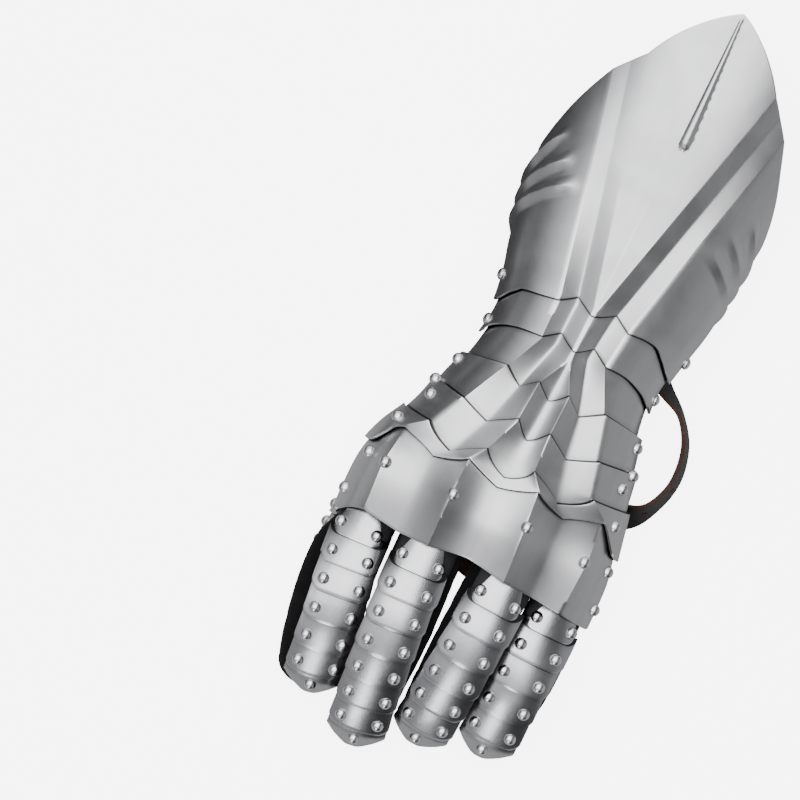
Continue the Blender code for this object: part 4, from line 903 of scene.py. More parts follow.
def plate_skin(name):
    """The outer face of a plate, with the nearness of its creases and of the plate over it as attributes."""
    between, down, rows = FINENESS[name]
    columns = plate_columns(name, between, down)
    creases, unders = {}, {}

    def where(column, row):
        y, angle, lift, crease = plate_spot(name, columns[column], row / rows)
        if name == "cuff_plate":
            kind = columns[column][0]
            if kind == "crease":
                lift += rib_height(envelope(y, angle, 0.0)[0].x, y)
            else:
                lift += flute_height(-1 if kind == "left" else 1, angle if kind == "left" else 180 - angle, y)
        point = envelope(y, angle, lift)[0]
        key = tuple(round(c, 5) for c in place(point))
        creases[key], unders[key] = crease, plate_under(name, columns[column], y, angle)
        return point

    shape = grid_sheet(len(columns) - 1, rows, where)
    # fold runs from crest 1 to valley -1: the steel finish lightens crests, partly as a painted highlight,
    # and paints shade in valleys
    fold = shape.verts.layers.float.new("fold")
    # under is the nearness to the edge of the plate over it, where the steel finish paints a shadow
    under = shape.verts.layers.float.new("under")
    for vert in shape.verts:
        key = tuple(round(c, 5) for c in vert.co)
        vert[fold], vert[under] = creases.get(key, 0.0), unders.get(key, 0.0)
    return shape


def skin_x(tree, y, side):
    """The x of a skin at the height of the pivots, on the side -1 or 1."""
    return unplace(tree.ray_cast(place((side * 90, y, PIVOT_Z)), Vector((-side, 0, 0)))[0]).x


def rod(shape, start, end, radius, sides=16):
    """Adds a closed round rod to a bmesh, between two points in millimetres, and gives its faces."""
    start, end = place(start), place(end)
    axis = end - start
    turn = axis.to_track_quat("Z", "Y").to_matrix().to_4x4()
    made = bmesh.ops.create_cone(shape, cap_ends=True, segments=sides, depth=axis.length, radius1=radius * MM,
                                 radius2=radius * MM, matrix=Matrix.Translation((start + end) / 2) @ turn)
    return {face for vert in made["verts"] for face in vert.link_faces}


def pin_holes(name):
    """The cutter for a plate's pivot holes, or None."""
    for inner, y in PIVOTS.values():
        if inner == name:
            holes = bmesh.new()
            for side in (-1, 1):
                rod(holes, (side * 30, y, PIVOT_Z), (side * 60, y, PIVOT_Z), PIN_RADIUS + PIN_CLEARANCE, 24)
            return as_object("pin_holes", holes)
    return None


def as_object(name, shape, finishes=()):
    """A bmesh as an object, for a cut."""
    mesh = bpy.data.meshes.new(name)
    shape.to_mesh(mesh)
    shape.free()
    for finish in finishes:
        mesh.materials.append(finish)
    thing = bpy.data.objects.new(name, mesh)
    bpy.context.scene.collection.objects.link(thing)
    return thing


def make_plate(name, tree):
    """A plate with its lacquered back, its cut edge and its rivets; tree finds places on its skin."""
    shape = walled(PLATE_SKINS[name], (STEEL_FINISH, LACQUER_FINISH, EDGE_FINISH), STEEL, -1.0, 0.28,
                   pin_holes(name))
    spots = [on_skin(tree, envelope(y, angle_at(x, y), 1.0)[0]) for x, y in PLATE_RIVETS.get(name, ())]
    if name == "cuff_plate":
        for y in TAB_RIVET_STATIONS:
            lift = plate_lift(name, y, 0.0)
            spots += [on_skin(tree, envelope(y, angle, lift)[0]) for angle in TAB_RIVET_ANGLES]
    pins = []
    if name in PIVOTS:
        inner, y = PIVOTS[name]
        for side in (-1, 1):
            head = skin_x(tree, y, side)
            back = skin_x(PLATE_TREES[inner], y, side) - side * STEEL
            spots.append((Vector((head, y, PIVOT_Z)), Vector((side, 0, 0))))
            pins.append(((head + side * 0.4, y, PIVOT_Z), (back - side * 2.3, y, PIVOT_Z), PIN_RADIUS))
            pins.append(((back - side * 1.4, y, PIVOT_Z), (back - side * 2.2, y, PIVOT_Z), WASHER_RADIUS))
    for spot, normal in spots:
        set_rivet(shape, spot, normal, RIVET_RADIUS, 3)
    for pin in pins:  # after the rivets, because a rivet is found by its place at the end of the lists
        for face in rod(shape, *pin):
            face.material_index = 3
    body = PLATE_BODIES.get(name, "hand")
    finishes = (STEEL_FINISH, LACQUER_FINISH, EDGE_FINISH, RIVET_FINISH)
    piece = finish_piece(name + "_steel", shape, finishes, body, (name,))
    print(piece.name, "has", len(piece.data.polygons), "faces and", len(spots), "rivets")


PLATE_SKINS = {name: plate_skin(name) for name in PLATES}
PLATE_TREES = {name: tree_of(skin) for name, skin in PLATE_SKINS.items()}
for plate_name in PLATES:
    make_plate(plate_name, PLATE_TREES[plate_name])

# %% [markdown]
# ## Fingers
#
# Each finger of the glove is a tube round a curved middle line. A row of steel scales is riveted over a
# leather strip on its back, and every scale's free end stands over the next one, so that the finger can curl.
# One function gives a place at any distance along the finger and any angle round it, with a lift off the
# suede. Glove, strip and scales all come from it, so they nest without being fitted to each other.

# %% The routes of the fingers and of the thumb
FINGERS = {
    "index": {"scales": 7, "root": (-53.0, 33.0), "tip": (-43.2, -231.0), "turn": 1.6, "droop": 3.0,
              "lean": -16.0},
    "middle": {"scales": 8, "root": (-22.0, 45.5), "tip": (-12.8, -245.0), "turn": 1.8, "droop": 2.5,
               "lean": 0.0},
    "ring": {"scales": 7, "root": (19.5, 45.5), "tip": (14.6, -230.0), "turn": 1.3, "droop": 2.5,
             "lean": 0.0},
    "little": {"scales": 6, "root": (46.8, 33.0), "tip": (46.0, -222.0), "turn": 1.5, "droop": 3.0,
               "lean": 16.0},
}
FINGER_ROOT_Y = -138.6
TIP_Z = 2.8
THUMB_ROUTE = ((-37.0, -84.0, 16.0), (-45.0, -100.0, 14.4), (-52.0, -120.0, 12.6), (-55.2, -138.0, 11.4),
               (-56.0, -155.0, 10.8), (-55.3, -170.0, 10.4), (-54.3, -184.0, 10.2))
THUMB_OUTWARD = radians(172.0)
# Share of the length, half widths to the thumb side and away from it.
FINGER_WIDTHS = {
    "index": ((0.0, 13.8, 13.8), (0.1, 15.2, 13.6), (0.22, 20.6, 13.4), (0.45, 22.0, 13.0),
              (0.75, 20.5, 12.0), (1.0, 17.5, 11.0)),
    "middle": ((0.0, 14.0, 16.6), (0.4, 14.2, 17.0), (0.7, 12.6, 14.6), (1.0, 11.0, 12.0)),
    "ring": ((0.0, 17.0, 13.4), (0.4, 16.0, 13.6), (0.7, 14.0, 12.6), (1.0, 12.0, 11.5)),
    "little": ((0.0, 13.2, 14.6), (0.4, 13.6, 17.0), (0.7, 13.4, 15.5), (1.0, 12.0, 13.0)),
    "thumb": ((0.0, 11.4, 11.4), (0.5, 10.4, 10.4), (1.0, 9.6, 9.6)),
}
FINGER_HEIGHT = 9.8
THUMB_HEIGHT = 10.4
CAP_LENGTH = 11.0
# Share of a finger's length, half the width of the curve that its scales are bent to: wider than the glove.
SCALE_CURVE = ((0.0, 12.5), (0.07, 13.8), (0.28, 18.5), (1.0, 18.5))


def smooth_route(points, count):
    """Evenly counted points on a smooth curve through a few, each a tuple of any length."""
    keyed = [(n, *point) for n, point in enumerate(points)]
    last = len(points) - 1
    return [[read(keyed, last * n / count, column, True) for column in range(1, len(keyed[0]))]
            for n in range(count + 1)]


def finger_route(finger):
    """A finger's middle line: it turns in and droops later than it runs forward."""
    (root_x, root_z), (tip_x, tip_y) = finger["root"], finger["tip"]
    return [Vector((root_x + (tip_x - root_x) * t ** finger["turn"],
                    FINGER_ROOT_Y + (tip_y - FINGER_ROOT_Y) * t,
                    root_z + (TIP_Z - root_z) * t ** finger["droop"])) for t in (n / 60 for n in range(61))]


def make_digit(name):
    """A digit's middle line, its length and the direction that its scales face."""
    if name == "thumb":
        route = [Vector(point) for point in smooth_route(THUMB_ROUTE, 60)]
        outward, height = Vector((cos(THUMB_OUTWARD), 0, sin(THUMB_OUTWARD))), THUMB_HEIGHT
    else:
        lean = radians(FINGERS[name]["lean"])
        route, outward, height = finger_route(FINGERS[name]), Vector((sin(lean), 0, cos(lean))), FINGER_HEIGHT
    stations = [0.0]
    for first, second in zip(route, route[1:]):
        stations.append(stations[-1] + (second - first).length)
    return {"name": name, "route": route, "stations": stations, "length": stations[-1], "outward": outward,
            "height": height}


DIGITS = {name: make_digit(name) for name in (*FINGERS, "thumb")}
print({name: round(digit["length"], 1) for name, digit in DIGITS.items()})

# %% A place on a digit
def digit_frame(digit, distance):
    """The middle line's point, and the directions across and outward, at a distance from the root."""
    stations, route = digit["stations"], digit["route"]
    distance = min(max(distance, 0.0), digit["length"])
    n = next(i for i in range(len(route) - 1) if distance <= stations[i + 1] + 1e-6)
    share = (distance - stations[n]) / (stations[n + 1] - stations[n])
    centre = route[n].lerp(route[n + 1], share)
    before, after = route[max(n - 1, 0)], route[min(n + 2, len(route) - 1)]
    along = (after - before).normalized() if n else (route[1] - route[0]).normalized()
    up = digit["outward"]
    if digit["name"] != "thumb":
        up = up.lerp(Vector((0, 0, 1)), min(distance / (digit["length"] * 0.5), 1.0))
    up = (up - along * up.dot(along)).normalized()
    return centre, up.cross(along), up


def half_width_at(digit, distance, column, over):
    """Half the width of a digit's glove on one side, or of the curve that its scales are bent to."""
    share = distance / digit["length"]
    half = read(FINGER_WIDTHS[digit["name"]], share, column, True)
    return max(half, read(SCALE_CURVE, share, 1, False)) if over and digit["name"] != "thumb" else half


def digit_point(digit, distance, angle, lift, over=False):
    """A point and its normal on a digit's glove, or on the wider curve over it that its scales are bent to.

    90 degrees is outward and 180 is the thumb side.
    """
    centre, across, up = digit_frame(digit, distance)
    half = half_width_at(digit, distance, 1 if cos(angle) < 0 else 2, over)
    into_cap = min(max((distance - digit["length"] + CAP_LENGTH) / CAP_LENGTH, 0.0), 1.0)
    close = sqrt(max(1 - into_cap ** 2, 0.0))
    half = max(half * close, 0.01)
    height = max(digit["height"] * close, 0.01)
    nx, nz = cos(angle) / half, sin(angle) / height
    size = hypot(nx, nz)
    x = half * cos(angle) + nx / size * lift
    z = height * sin(angle) + nz / size * lift
    return centre + across * x + up * z, (across * nx + up * nz) / size


def lateral_angle(digit, distance, lateral):
    """The angle on the outward half of a digit where a place of its scales is lateral from the middle."""
    half = half_width_at(digit, distance, 1 if lateral < 0 else 2, True)
    return acos(min(max(lateral / half, -0.98), 0.98))


print("the middle finger is", round(2 * read(FINGER_WIDTHS["middle"], 0.4, 1, True), 1),
      "mm wide in the glove")

# %% [markdown]
# The glove's fingers are sewn from two sides, so each has a raised seam down either side and small wrinkles
# where it bends. The wrinkles are soft noise that only ever pushes inwards, which keeps them off the scales.
# The tube's last rows close up over a rounded end.

# %% Glove fingers
SUEDE = 1.4
SEAM_ANGLES = (-28.0, 208.0)
SEAM_WIDTH = 7.0
SEAM_HEIGHT = 0.9
WRINKLE_DEPTH = 1.1
TUBE_COLUMNS = 72
TUBE_ROWS = 84


def cap_share(share):
    """Shares along a digit that crowd together in its rounded end."""
    return 1 - (1 - share) ** 1.6


def wrinkle(point, size, seed):
    """A soft value from 0 to 1 that changes over about a size in millimetres."""
    return 0.5 + 0.5 * noise.noise(Vector(point) / size + Vector((seed, 3.1 * seed, -seed)))


# How much further the suede bags out than the solids: share of the length, and both sides, in millimetres.
BAGGING = {
    "index": ((0.0, 0.0, 1.2), (0.3, 0.0, 0.9), (0.7, 0.0, 0.3), (1.0, 0.0, 0.0)),
    "middle": ((0.0, 1.3, 2.0), (0.4, 0.3, 2.0), (0.7, 0.0, 1.2), (1.0, 0.0, 0.3)),
    "ring": ((0.0, 2.0, 0.0), (0.4, 2.0, 0.0), (0.7, 2.0, 0.0), (1.0, 1.0, 0.3)),
}
TIP_BAGGING = 1.9
TIP_BAGGING_LENGTH = 13.0


def bagging(digit, distance, angle):
    """How far the suede bags out at a place on a digit."""
    rows = BAGGING.get(digit["name"], ((0.0, 0.0, 0.0), (1.0, 0.0, 0.0)))
    sideways = read(rows, distance / digit["length"], 1 if cos(angle) < 0 else 2, False) * cos(angle) ** 4
    return sideways + TIP_BAGGING * ease(1 - (digit["length"] - distance) / TIP_BAGGING_LENGTH)


def make_glove_digit(name):
    """One finger of the glove: a thin tube with side seams and wrinkles."""
    digit = DIGITS[name]
    seed = 2.0 + 1.7 * len(name)
    folds = {}

    def where(column, row):
        distance = digit["length"] * cap_share(row / TUBE_ROWS)
        degrees_round = 360.0 * (column % TUBE_COLUMNS) / TUBE_COLUMNS
        point, normal = digit_point(digit, distance, radians(degrees_round), 0.0)
        away = min(abs((degrees_round - angle + 180) % 360 - 180) for angle in SEAM_ANGLES) / SEAM_WIDTH
        seam = cos(min(away, 1.0) * pi / 2) ** 2 * ease((digit["length"] - distance) / 7.0)
        across_fold = wrinkle((point.x * 0.45, point.y * 1.6, point.z), 7.0, seed)
        dent = 0.35 * wrinkle(point, 15.0, seed + 5) + 0.65 * max(across_fold - 0.45, 0.0) * 1.8
        under = 1.0 if degrees_round > 180 else 0.6
        dent *= WRINKLE_DEPTH * under * ease((digit["length"] - distance) / 6.0)
        bag = bagging(digit, distance, radians(degrees_round))
        point = point + normal * (SEAM_HEIGHT * seam - dent + bag)
        folds[tuple(round(c, 5) for c in place(point))] = seam
        return point

    shape = grid_sheet(TUBE_COLUMNS, TUBE_ROWS, where)
    bmesh.ops.remove_doubles(shape, verts=shape.verts, dist=0.00002)
    fold = shape.verts.layers.float.new("fold")
    for vert in shape.verts:
        vert[fold] = folds.get(tuple(round(c, 5) for c in vert.co), 0.0)
        vert.co.z = max(vert.co.z, 0.0002)
    bmesh.ops.recalc_face_normals(shape, faces=shape.faces)
    shape = walled(shape, (SUEDE_FINISH, SUEDE_FINISH, RAW_EDGE_FINISH), SUEDE, -1.0, 0.0)
    finish_piece(f"glove_{name}_suede", shape, (SUEDE_FINISH, SUEDE_FINISH, RAW_EDGE_FINISH), "hand",
                 ("glove_" + name,), 50.0)


for digit_name in DIGITS:
    make_glove_digit(digit_name)
print("glove fingers:", [name for name in MADE if name.startswith("glove_")])

# %% [markdown]
# A scale is a curved strip of steel with round corners at its free end, and the last one on each finger comes
# to a blunt point. The grid's free edge is set back by an arc near its ends, which rounds the corners without
# cutting the sheet. Each scale is a piece of its own, so that it can be made again at another width.

# %% Leather strips and steel scales
SCALE_STEEL = 0.9
STRIP_LEATHER = 1.2
STRIP_GAP = 0.9
GAP = 0.35
SCALE_HALF_WIDTH = 12.9
SCALE_RIVET_SPACING = 8.1  # from the middle of a finger's scale to its rivets
SCALE_OVERLAP = 4.5
SCALE_LIFT = 2.4
SCALE_START = 5.5
SCALE_RIVET = 3.0
RIVET_MARGIN = 0.1
CORNER_RADIUS = 4.2
RIVET_SETBACK = 0.42  # how far the rivets stand behind the free end, as a share of a scale's pitch
POINTED_RIVET_SETBACK = 0.55
POINTED_LIFT = 0.2  # the pointed scale stands this much further off
POINTED_SETTLE = 1.8  # and its free end lies this much closer than the others' do
FIRST_SCALE_WIDTH = 0.84  # the first scale's free end, as a share of the other scales' width
FIRST_SCALE_ROOT = 0.46  # and its root end, which the knuckle plate covers
TIP_MARGIN = 4.0  # from the last scale's free end to the fingertip
STRIP_TIP_MARGIN = 7.0  # from the strip's end to the last scale's free end
STRIP_SIDE_MARGIN = 0.8
STRIP_START = 2.0
POINT_DEPTH = 9.5
POINT_FLAT = 0.24
SCALE_COLUMNS = 34
SCALE_ROWS = 10
NEARLY_ALL = 0.998  # keeps the outermost column off the very corner of the free end


def free_end_setback(lateral, half_width, pointed):
    """How far the free edge lies behind its foremost place."""
    if pointed:
        share = (abs(lateral) / half_width - POINT_FLAT) / (1 - POINT_FLAT)
        return POINT_DEPTH * max(share, 0.0) + 0.5 * (lateral / half_width) ** 2
    inset = abs(lateral) - (half_width - CORNER_RADIUS)
    return CORNER_RADIUS - sqrt(CORNER_RADIUS ** 2 - inset ** 2) if inset > 0 else 0.0


def crowded(share):
    """Shares that crowd together at both ends, where the corners are."""
    return 0.5 - 0.5 * cos(pi * share)


def make_scale(digit, number, free_end, pitch, half_width, root_half_width, pointed):
    """One scale with its rivets."""
    base = STRIP_GAP + STRIP_LEATHER + GAP + SCALE_STEEL + (POINTED_LIFT if pointed else 0.0)
    root_end = free_end - pitch - SCALE_OVERLAP

    unders = {}

    def lift_along(distance):
        along = (distance - root_end) / (pitch + SCALE_OVERLAP)
        return SCALE_LIFT * along - (POINTED_SETTLE * ease((along - 0.35) / 0.5) if pointed else 0.0)

    def where(column, row):
        share = 2 * crowded(column / SCALE_COLUMNS) - 1
        lateral = half_width * min(max(share, -NEARLY_ALL), NEARLY_ALL)
        foremost = free_end - free_end_setback(lateral, half_width, pointed)
        distance = foremost + (root_end - foremost) * row / SCALE_ROWS
        rise = lift_along(distance)
        half = half_width + (root_half_width - half_width) * (free_end - distance) / (free_end - root_end)
        angle = lateral_angle(digit, distance, half * share)
        point = digit_point(digit, distance, angle, base + rise, True)[0]
        # nearness to the free end of the scale before, where the steel finish paints a shadow line
        edge_before = free_end - pitch - free_end_setback(lateral, half_width, False)
        near = 0.0 if number == 1 else nearness(distance - edge_before)
        unders[tuple(round(c, 5) for c in place(point))] = near
        return point

    skin = grid_sheet(SCALE_COLUMNS, SCALE_ROWS, where)
    under = skin.verts.layers.float.new("under")
    for vert in skin.verts:
        vert[under] = unders.get(tuple(round(c, 5) for c in vert.co), 0.0)
    tree = tree_of(skin)
    shape = walled(skin, (SCALE_FINISH, SCALE_FINISH, EDGE_FINISH), SCALE_STEEL, -1.0, 0.2)
    to_rivet = min(half_width - SCALE_RIVET - RIVET_MARGIN, SCALE_RIVET_SPACING)
    for lateral in (0.0,) if pointed else (-to_rivet, to_rivet):
        distance = free_end - pitch * (POINTED_RIVET_SETBACK if pointed else RIVET_SETBACK)
        rise = lift_along(distance)
        angle = lateral_angle(digit, distance, lateral)
        spot = on_skin(tree, digit_point(digit, distance, angle, base + rise, True)[0])
        set_rivet(shape, *spot, SCALE_RIVET, 3)
    node = f"{digit['name']}_scale_{number}"
    finish_piece(node + "_steel", shape, (SCALE_FINISH, SCALE_FINISH, EDGE_FINISH, RIVET_FINISH), "hand",
                 (node,))


# How far a strip reaches out beyond its even width, left and right, in millimetres.
STRIP_REACH = {"index": (0.0, 0.6), "middle": (0.0, 1.8), "ring": (0.6, 0.0), "little": (0.5, 0.0)}


def make_strip(digit, start, end, half_width):
    """The leather strip under the scales, with its cut edges; it reaches out a little on one side."""
    columns, rows = 16, 60
    left, right = STRIP_REACH.get(digit["name"], (0.0, 0.0))

    def where(column, row):
        distance = end + (start - end) * row / rows
        lateral = -half_width - left + (2 * half_width + left + right) * column / columns
        angle = lateral_angle(digit, distance, lateral)
        return digit_point(digit, distance, angle, STRIP_GAP + STRIP_LEATHER, True)[0]

    finishes = (STRIP_FINISH, FLESH_FINISH, STRIP_FINISH)
    shape = walled(grid_sheet(columns, rows, where), finishes, STRIP_LEATHER, -1.0, 0.25)
    finish_piece(digit["name"] + "_strip_leather", shape, finishes, "hand", (digit["name"] + "_strip",))


def make_finger(name):
    """The strip and the scales of one finger; the first is narrower, where the knuckle plate covers it."""
    digit = DIGITS[name]
    last = digit["length"] - TIP_MARGIN
    make_strip(digit, STRIP_START, last - STRIP_TIP_MARGIN, SCALE_HALF_WIDTH - STRIP_SIDE_MARGIN)
    count = FINGERS[name]["scales"]
    pitch = (last - SCALE_START) / count
    for n in range(count):
        half_width = SCALE_HALF_WIDTH * (FIRST_SCALE_WIDTH if n == 0 else 1.0)
        root_half_width = SCALE_HALF_WIDTH * (FIRST_SCALE_ROOT if n == 0 else 1.0)
        free_end = SCALE_START + pitch * (n + 1)
        make_scale(digit, n + 1, free_end, pitch, half_width, root_half_width, n == count - 1)
    print(name, "has", count, "scales of", round(pitch, 1), "mm")


for finger_name in FINGERS:
    make_finger(finger_name)

# %% [markdown]
# ## Thumb
#
# The thumb lies under the hand's edge. Its base plate is flared steel over a brown leather lining, and five
# narrower scales follow it. It uses the same functions as the fingers.

# %% The thumb's base plate, lining and scales
BASE_PLATE_ANGLES = (140.0, 64.0)
BASE_PLATE_START = 7.0
BASE_PLATE_END = 56.0
BASE_PLATE_FLARE = 2.0
BASE_PLATE_LIFT = 6.0
LINING_LEATHER = 1.2
THUMB_SCALES = 5
THUMB_SCALE_START = 54.0
THUMB_SCALE_WIDTH = 0.58
THUMB_STRIP_WIDTH = 0.5
THUMB_TIP_MARGIN = 6.0
LINING_MARGIN = 7.5  # the plate reaches past the lining
BASE_RIVET_ANGLES = (62.0, 118.0)
BASE_RIVET_MARGIN = 6.0


def base_sheet(digit, lift, end):
    """The skin of the plate or the lining at the root of the thumb."""
    columns, rows = 40, 40
    first, last = BASE_PLATE_ANGLES

    def where(column, row):
        distance = end + (BASE_PLATE_START - end) * row / rows
        angle = radians(first + (last - first) * column / columns)
        return digit_point(digit, distance, angle, lift + BASE_PLATE_FLARE * (row / rows) ** 2)[0]

    return grid_sheet(columns, rows, where)


def make_thumb():
    digit = DIGITS["thumb"]
    lining = walled(base_sheet(digit, BASE_PLATE_LIFT - STEEL - GAP, BASE_PLATE_END - LINING_MARGIN),
                    (BROWN_FINISH, FLESH_FINISH, RAW_EDGE_FINISH), LINING_LEATHER, -1.0, 0.25)
    finish_piece("thumb_base_lining_leather", lining, (BROWN_FINISH, FLESH_FINISH, RAW_EDGE_FINISH), "hand",
                 ("thumb_base_lining",))
    plate = walled(base_sheet(digit, BASE_PLATE_LIFT, BASE_PLATE_END),
                   (STEEL_FINISH, LACQUER_FINISH, EDGE_FINISH), STEEL, -1.0, 0.25)
    for angle in BASE_RIVET_ANGLES:
        spot = digit_point(digit, BASE_PLATE_END - BASE_RIVET_MARGIN, radians(angle), BASE_PLATE_LIFT)
        set_rivet(plate, *spot, SCALE_RIVET, 3)
    finish_piece("thumb_base_plate_steel", plate, (STEEL_FINISH, LACQUER_FINISH, EDGE_FINISH, RIVET_FINISH),
                 "hand", ("thumb_base_plate",))
    last = digit["length"] - THUMB_TIP_MARGIN
    make_strip(digit, BASE_PLATE_END + GAP * 2, last - STRIP_START, SCALE_HALF_WIDTH * THUMB_STRIP_WIDTH)
    pitch = (last - THUMB_SCALE_START) / THUMB_SCALES
    half_width = SCALE_HALF_WIDTH * THUMB_SCALE_WIDTH
    for n in range(THUMB_SCALES):
        free_end = THUMB_SCALE_START + pitch * (n + 1)
        make_scale(digit, n + 1, free_end, pitch, half_width, half_width, n == THUMB_SCALES - 1)


make_thumb()
print("thumb pieces:", [name for name in MADE if name.startswith("thumb_")])

# %% [markdown]
# ## The hand and sleeve of the glove
#
# The hand of the glove is a bag: a tube from the sleeve to the roots of the fingers, closed there, with a way
# into each finger. It is made as two closed skins, the inner one smaller by the thickness of the suede. The
# inner is cut out of the outer, and then a plug cuts each way in. Cuts like these are what the Boolean
# modifier is for, because no grid could hold all of the ways.

# %% The sections of the hand and sleeve
#     y     left   right  top   sole
GLOVE_SECTIONS = (
    (58.0, -41.0, 44.0, 57.0, 15.0), (20.0, -38.5, 41.5, 54.0, 13.4), (-11.0, -36.5, 39.5, 51.0, 12.8),
    (-34.0, -37.0, 39.5, 51.0, 10.0), (-53.0, -40.5, 42.0, 52.5, 6.5), (-68.0, -45.2, 46.5, 54.0, 4.6),
    (-80.0, -49.2, 49.0, 55.5, 4.6), (-100.0, -58.5, 53.0, 58.0, 4.6), (-113.0, -63.5, 56.3, 59.0, 5.4),
    (-125.0, -65.5, 58.5, 58.0, 9.0), (-137.5, -66.0, 60.0, 54.5, 21.0),
)
SLEEVE_END = 58.0
HAND_END = -137.5
THUMB_ROOM_END = 62.0
THUMB_ROOM = 0.5  # between the thumb and the hand round it
WAY_INSET = 1.5  # the ways into the digits are this much smaller than the digits
WAY_DEPTH = 4.0
WAY_REACH = 6.0
HAND_COLUMNS = 88
HAND_ROWS = 96
HAND_WRINKLE = 1.3
SLEEVE_RIPPLE = 1.8


def hand_section(y, angle, inset, worn):
    """A place on the hand's section; worn adds the wrinkles, always inwards."""
    left, right, top, sole = (read(GLOVE_SECTIONS, y, column, True) for column in range(1, 5))
    x, z, nx, nz = oval((left + right) / 2, (right - left) / 2, (top + sole) / 2, (top - sole) / 2, angle,
                        -inset)
    if worn:
        broad = wrinkle((x, y * 0.7, z), 19.0, 4.0)
        crossing = max(wrinkle((x * 0.35 + y * 0.2, y * 1.1, z * 0.4), 8.0, 9.0) - 0.48, 0.0) * 2.0
        ripple = SLEEVE_RIPPLE * ease((y - 10) / 45) * (0.5 + 0.5 * sin(angle * 5 + 0.9 * sin(angle * 2)))
        dent = HAND_WRINKLE * (0.45 * broad + 0.75 * crossing) + ripple
        x, z = x - nx * dent, z - nz * dent
    return x, z


def lofted(columns, rings):
    """A closed skin: a grid joined round on itself, whose two open ends are filled."""
    shape = grid_sheet(columns, len(rings) - 1, lambda column, row: rings[row](column % columns))
    bmesh.ops.remove_doubles(shape, verts=shape.verts, dist=0.00001)
    bmesh.ops.holes_fill(shape, edges=[seam for seam in shape.edges if seam.is_boundary], sides=0)
    bmesh.ops.recalc_face_normals(shape, faces=shape.faces)
    return shape


def hand_ring(y, inset, shift=0.0, worn=True):
    def ring(column):
        x, z = hand_section(y, 2 * pi * column / HAND_COLUMNS, inset, worn)
        return x, y + shift, z
    return ring


def digit_plug(digit, start, end, lift, reach):
    """A closed rod along a digit's route; reach carries its first end back."""
    columns, rows = 30, 12
    back = (digit["route"][0] - digit["route"][1]).normalized() * reach

    def ring_at(distance, moved):
        return lambda column: digit_point(digit, distance, 2 * pi * column / columns, lift)[0] + moved

    rings = [ring_at(start, back)]
    rings += [ring_at(start + (end - start) * n / rows, Vector()) for n in range(rows + 1)]
    return lofted(columns, rings)


def cut_away(thing, cutter):
    """Cuts one object out of another."""
    step = thing.modifiers.new(cutter.name, "BOOLEAN")
    step.operation = "DIFFERENCE"
    step.object = cutter
    return cutter


def make_glove_hand():
    """The hand and sleeve: hollow, open at the sleeve, with ways into the digits and room for the thumb."""
    stations = [SLEEVE_END + (HAND_END - SLEEVE_END) * n / HAND_ROWS for n in range(HAND_ROWS + 1)]
    outer_rings = [hand_ring(y, 0.0) for y in stations]
    outer = as_object("hand_outer", lofted(HAND_COLUMNS, outer_rings), (SUEDE_FINISH,))
    inner_rings = [hand_ring(SLEEVE_END, SUEDE, 4.0)] + [hand_ring(y, SUEDE) for y in stations[:-1]]
    inner_rings.append(hand_ring(HAND_END + SUEDE, SUEDE))
    inner = as_object("hand_inner", lofted(HAND_COLUMNS, inner_rings))
    thumb = DIGITS["thumb"]
    wall = THUMB_ROOM + SUEDE
    room = digit_plug(thumb, 0.0, THUMB_ROOM_END, THUMB_ROOM, THUMB_ROOM)
    cutters = [cut_away(outer, as_object("room", room))]
    room_wall = digit_plug(thumb, 0.0, THUMB_ROOM_END, wall, wall)
    cutters.append(cut_away(inner, as_object("room_wall", room_wall)))
    cutters.append(cut_away(outer, inner))
    thumb_way = digit_plug(thumb, 0.0, 1.0, -WAY_INSET, WAY_REACH)
    cutters.append(cut_away(outer, as_object("thumb_way", thumb_way)))
    for name in FINGERS:
        plug = as_object(name + "_way", digit_plug(DIGITS[name], 0.0, WAY_DEPTH, -WAY_INSET, WAY_REACH))
        cutters.append(cut_away(outer, plug))
    shape = take_shape(outer, cutters)
    finish_piece("glove_hand_suede", shape, (SUEDE_FINISH,), "hand", ("glove_hand",), 45.0)


make_glove_hand()
print("the hand of the glove has", len(MADE["glove_hand_suede"].data.polygons), "faces")

# %% [markdown]
# ## Straps
#
# A strap is a ribbon along a route. Its outside is smooth and nearly black, its inside is raw brown, and
# the cut edge is brown too, which is what makes it look like real leather. The wrist strap passes under the
# palm, over the buckle's roller and out in a loop, and its free tail runs back into the sleeve.

# %% Ribbons
STRAP_LEATHER = 2.0
WRIST_STRAP_ROUTE = (
    (-47.2, -67.0, 30.0, 0), (-46.6, -67.22, 23.0, 0), (-43.5, -68.6, 14.0, 0), (-37.0, -70.8, 6.8, 0),
    (-27.0, -74.5, 2.6, 0), (-14.0, -79.5, 1.25, 0), (2.0, -86.0, 1.25, 0), (16.0, -90.8, 2.3, 0),
    (26.0, -92.0, 5.0, 0), (34.5, -92.0, 6.45, 0), (42.0, -92.0, 5.6, 0), (51.5, -92.0, 5.0, 0),
    (60.0, -90.5, 6.4, 30), (68.0, -83.5, 8.4, 62), (73.0, -72.0, 9.0, 70), (74.0, -60.0, 9.2, 72),
    (70.5, -46.0, 9.2, 76), (62.0, -34.0, 9.2, 78), (50.5, -26.5, 9.6, 60), (38.0, -18.0, 10.2, 32),
    (27.0, -6.0, 10.5, 10), (19.0, 8.0, 10.5, 0), (13.0, 25.0, 10.6, 0), (8.0, 57.0, 10.6, 0),
)
WRIST_STRAP_WIDTH = 14.0
WRIST_STRAP_HOLES = (0.50, 0.56, 0.62)
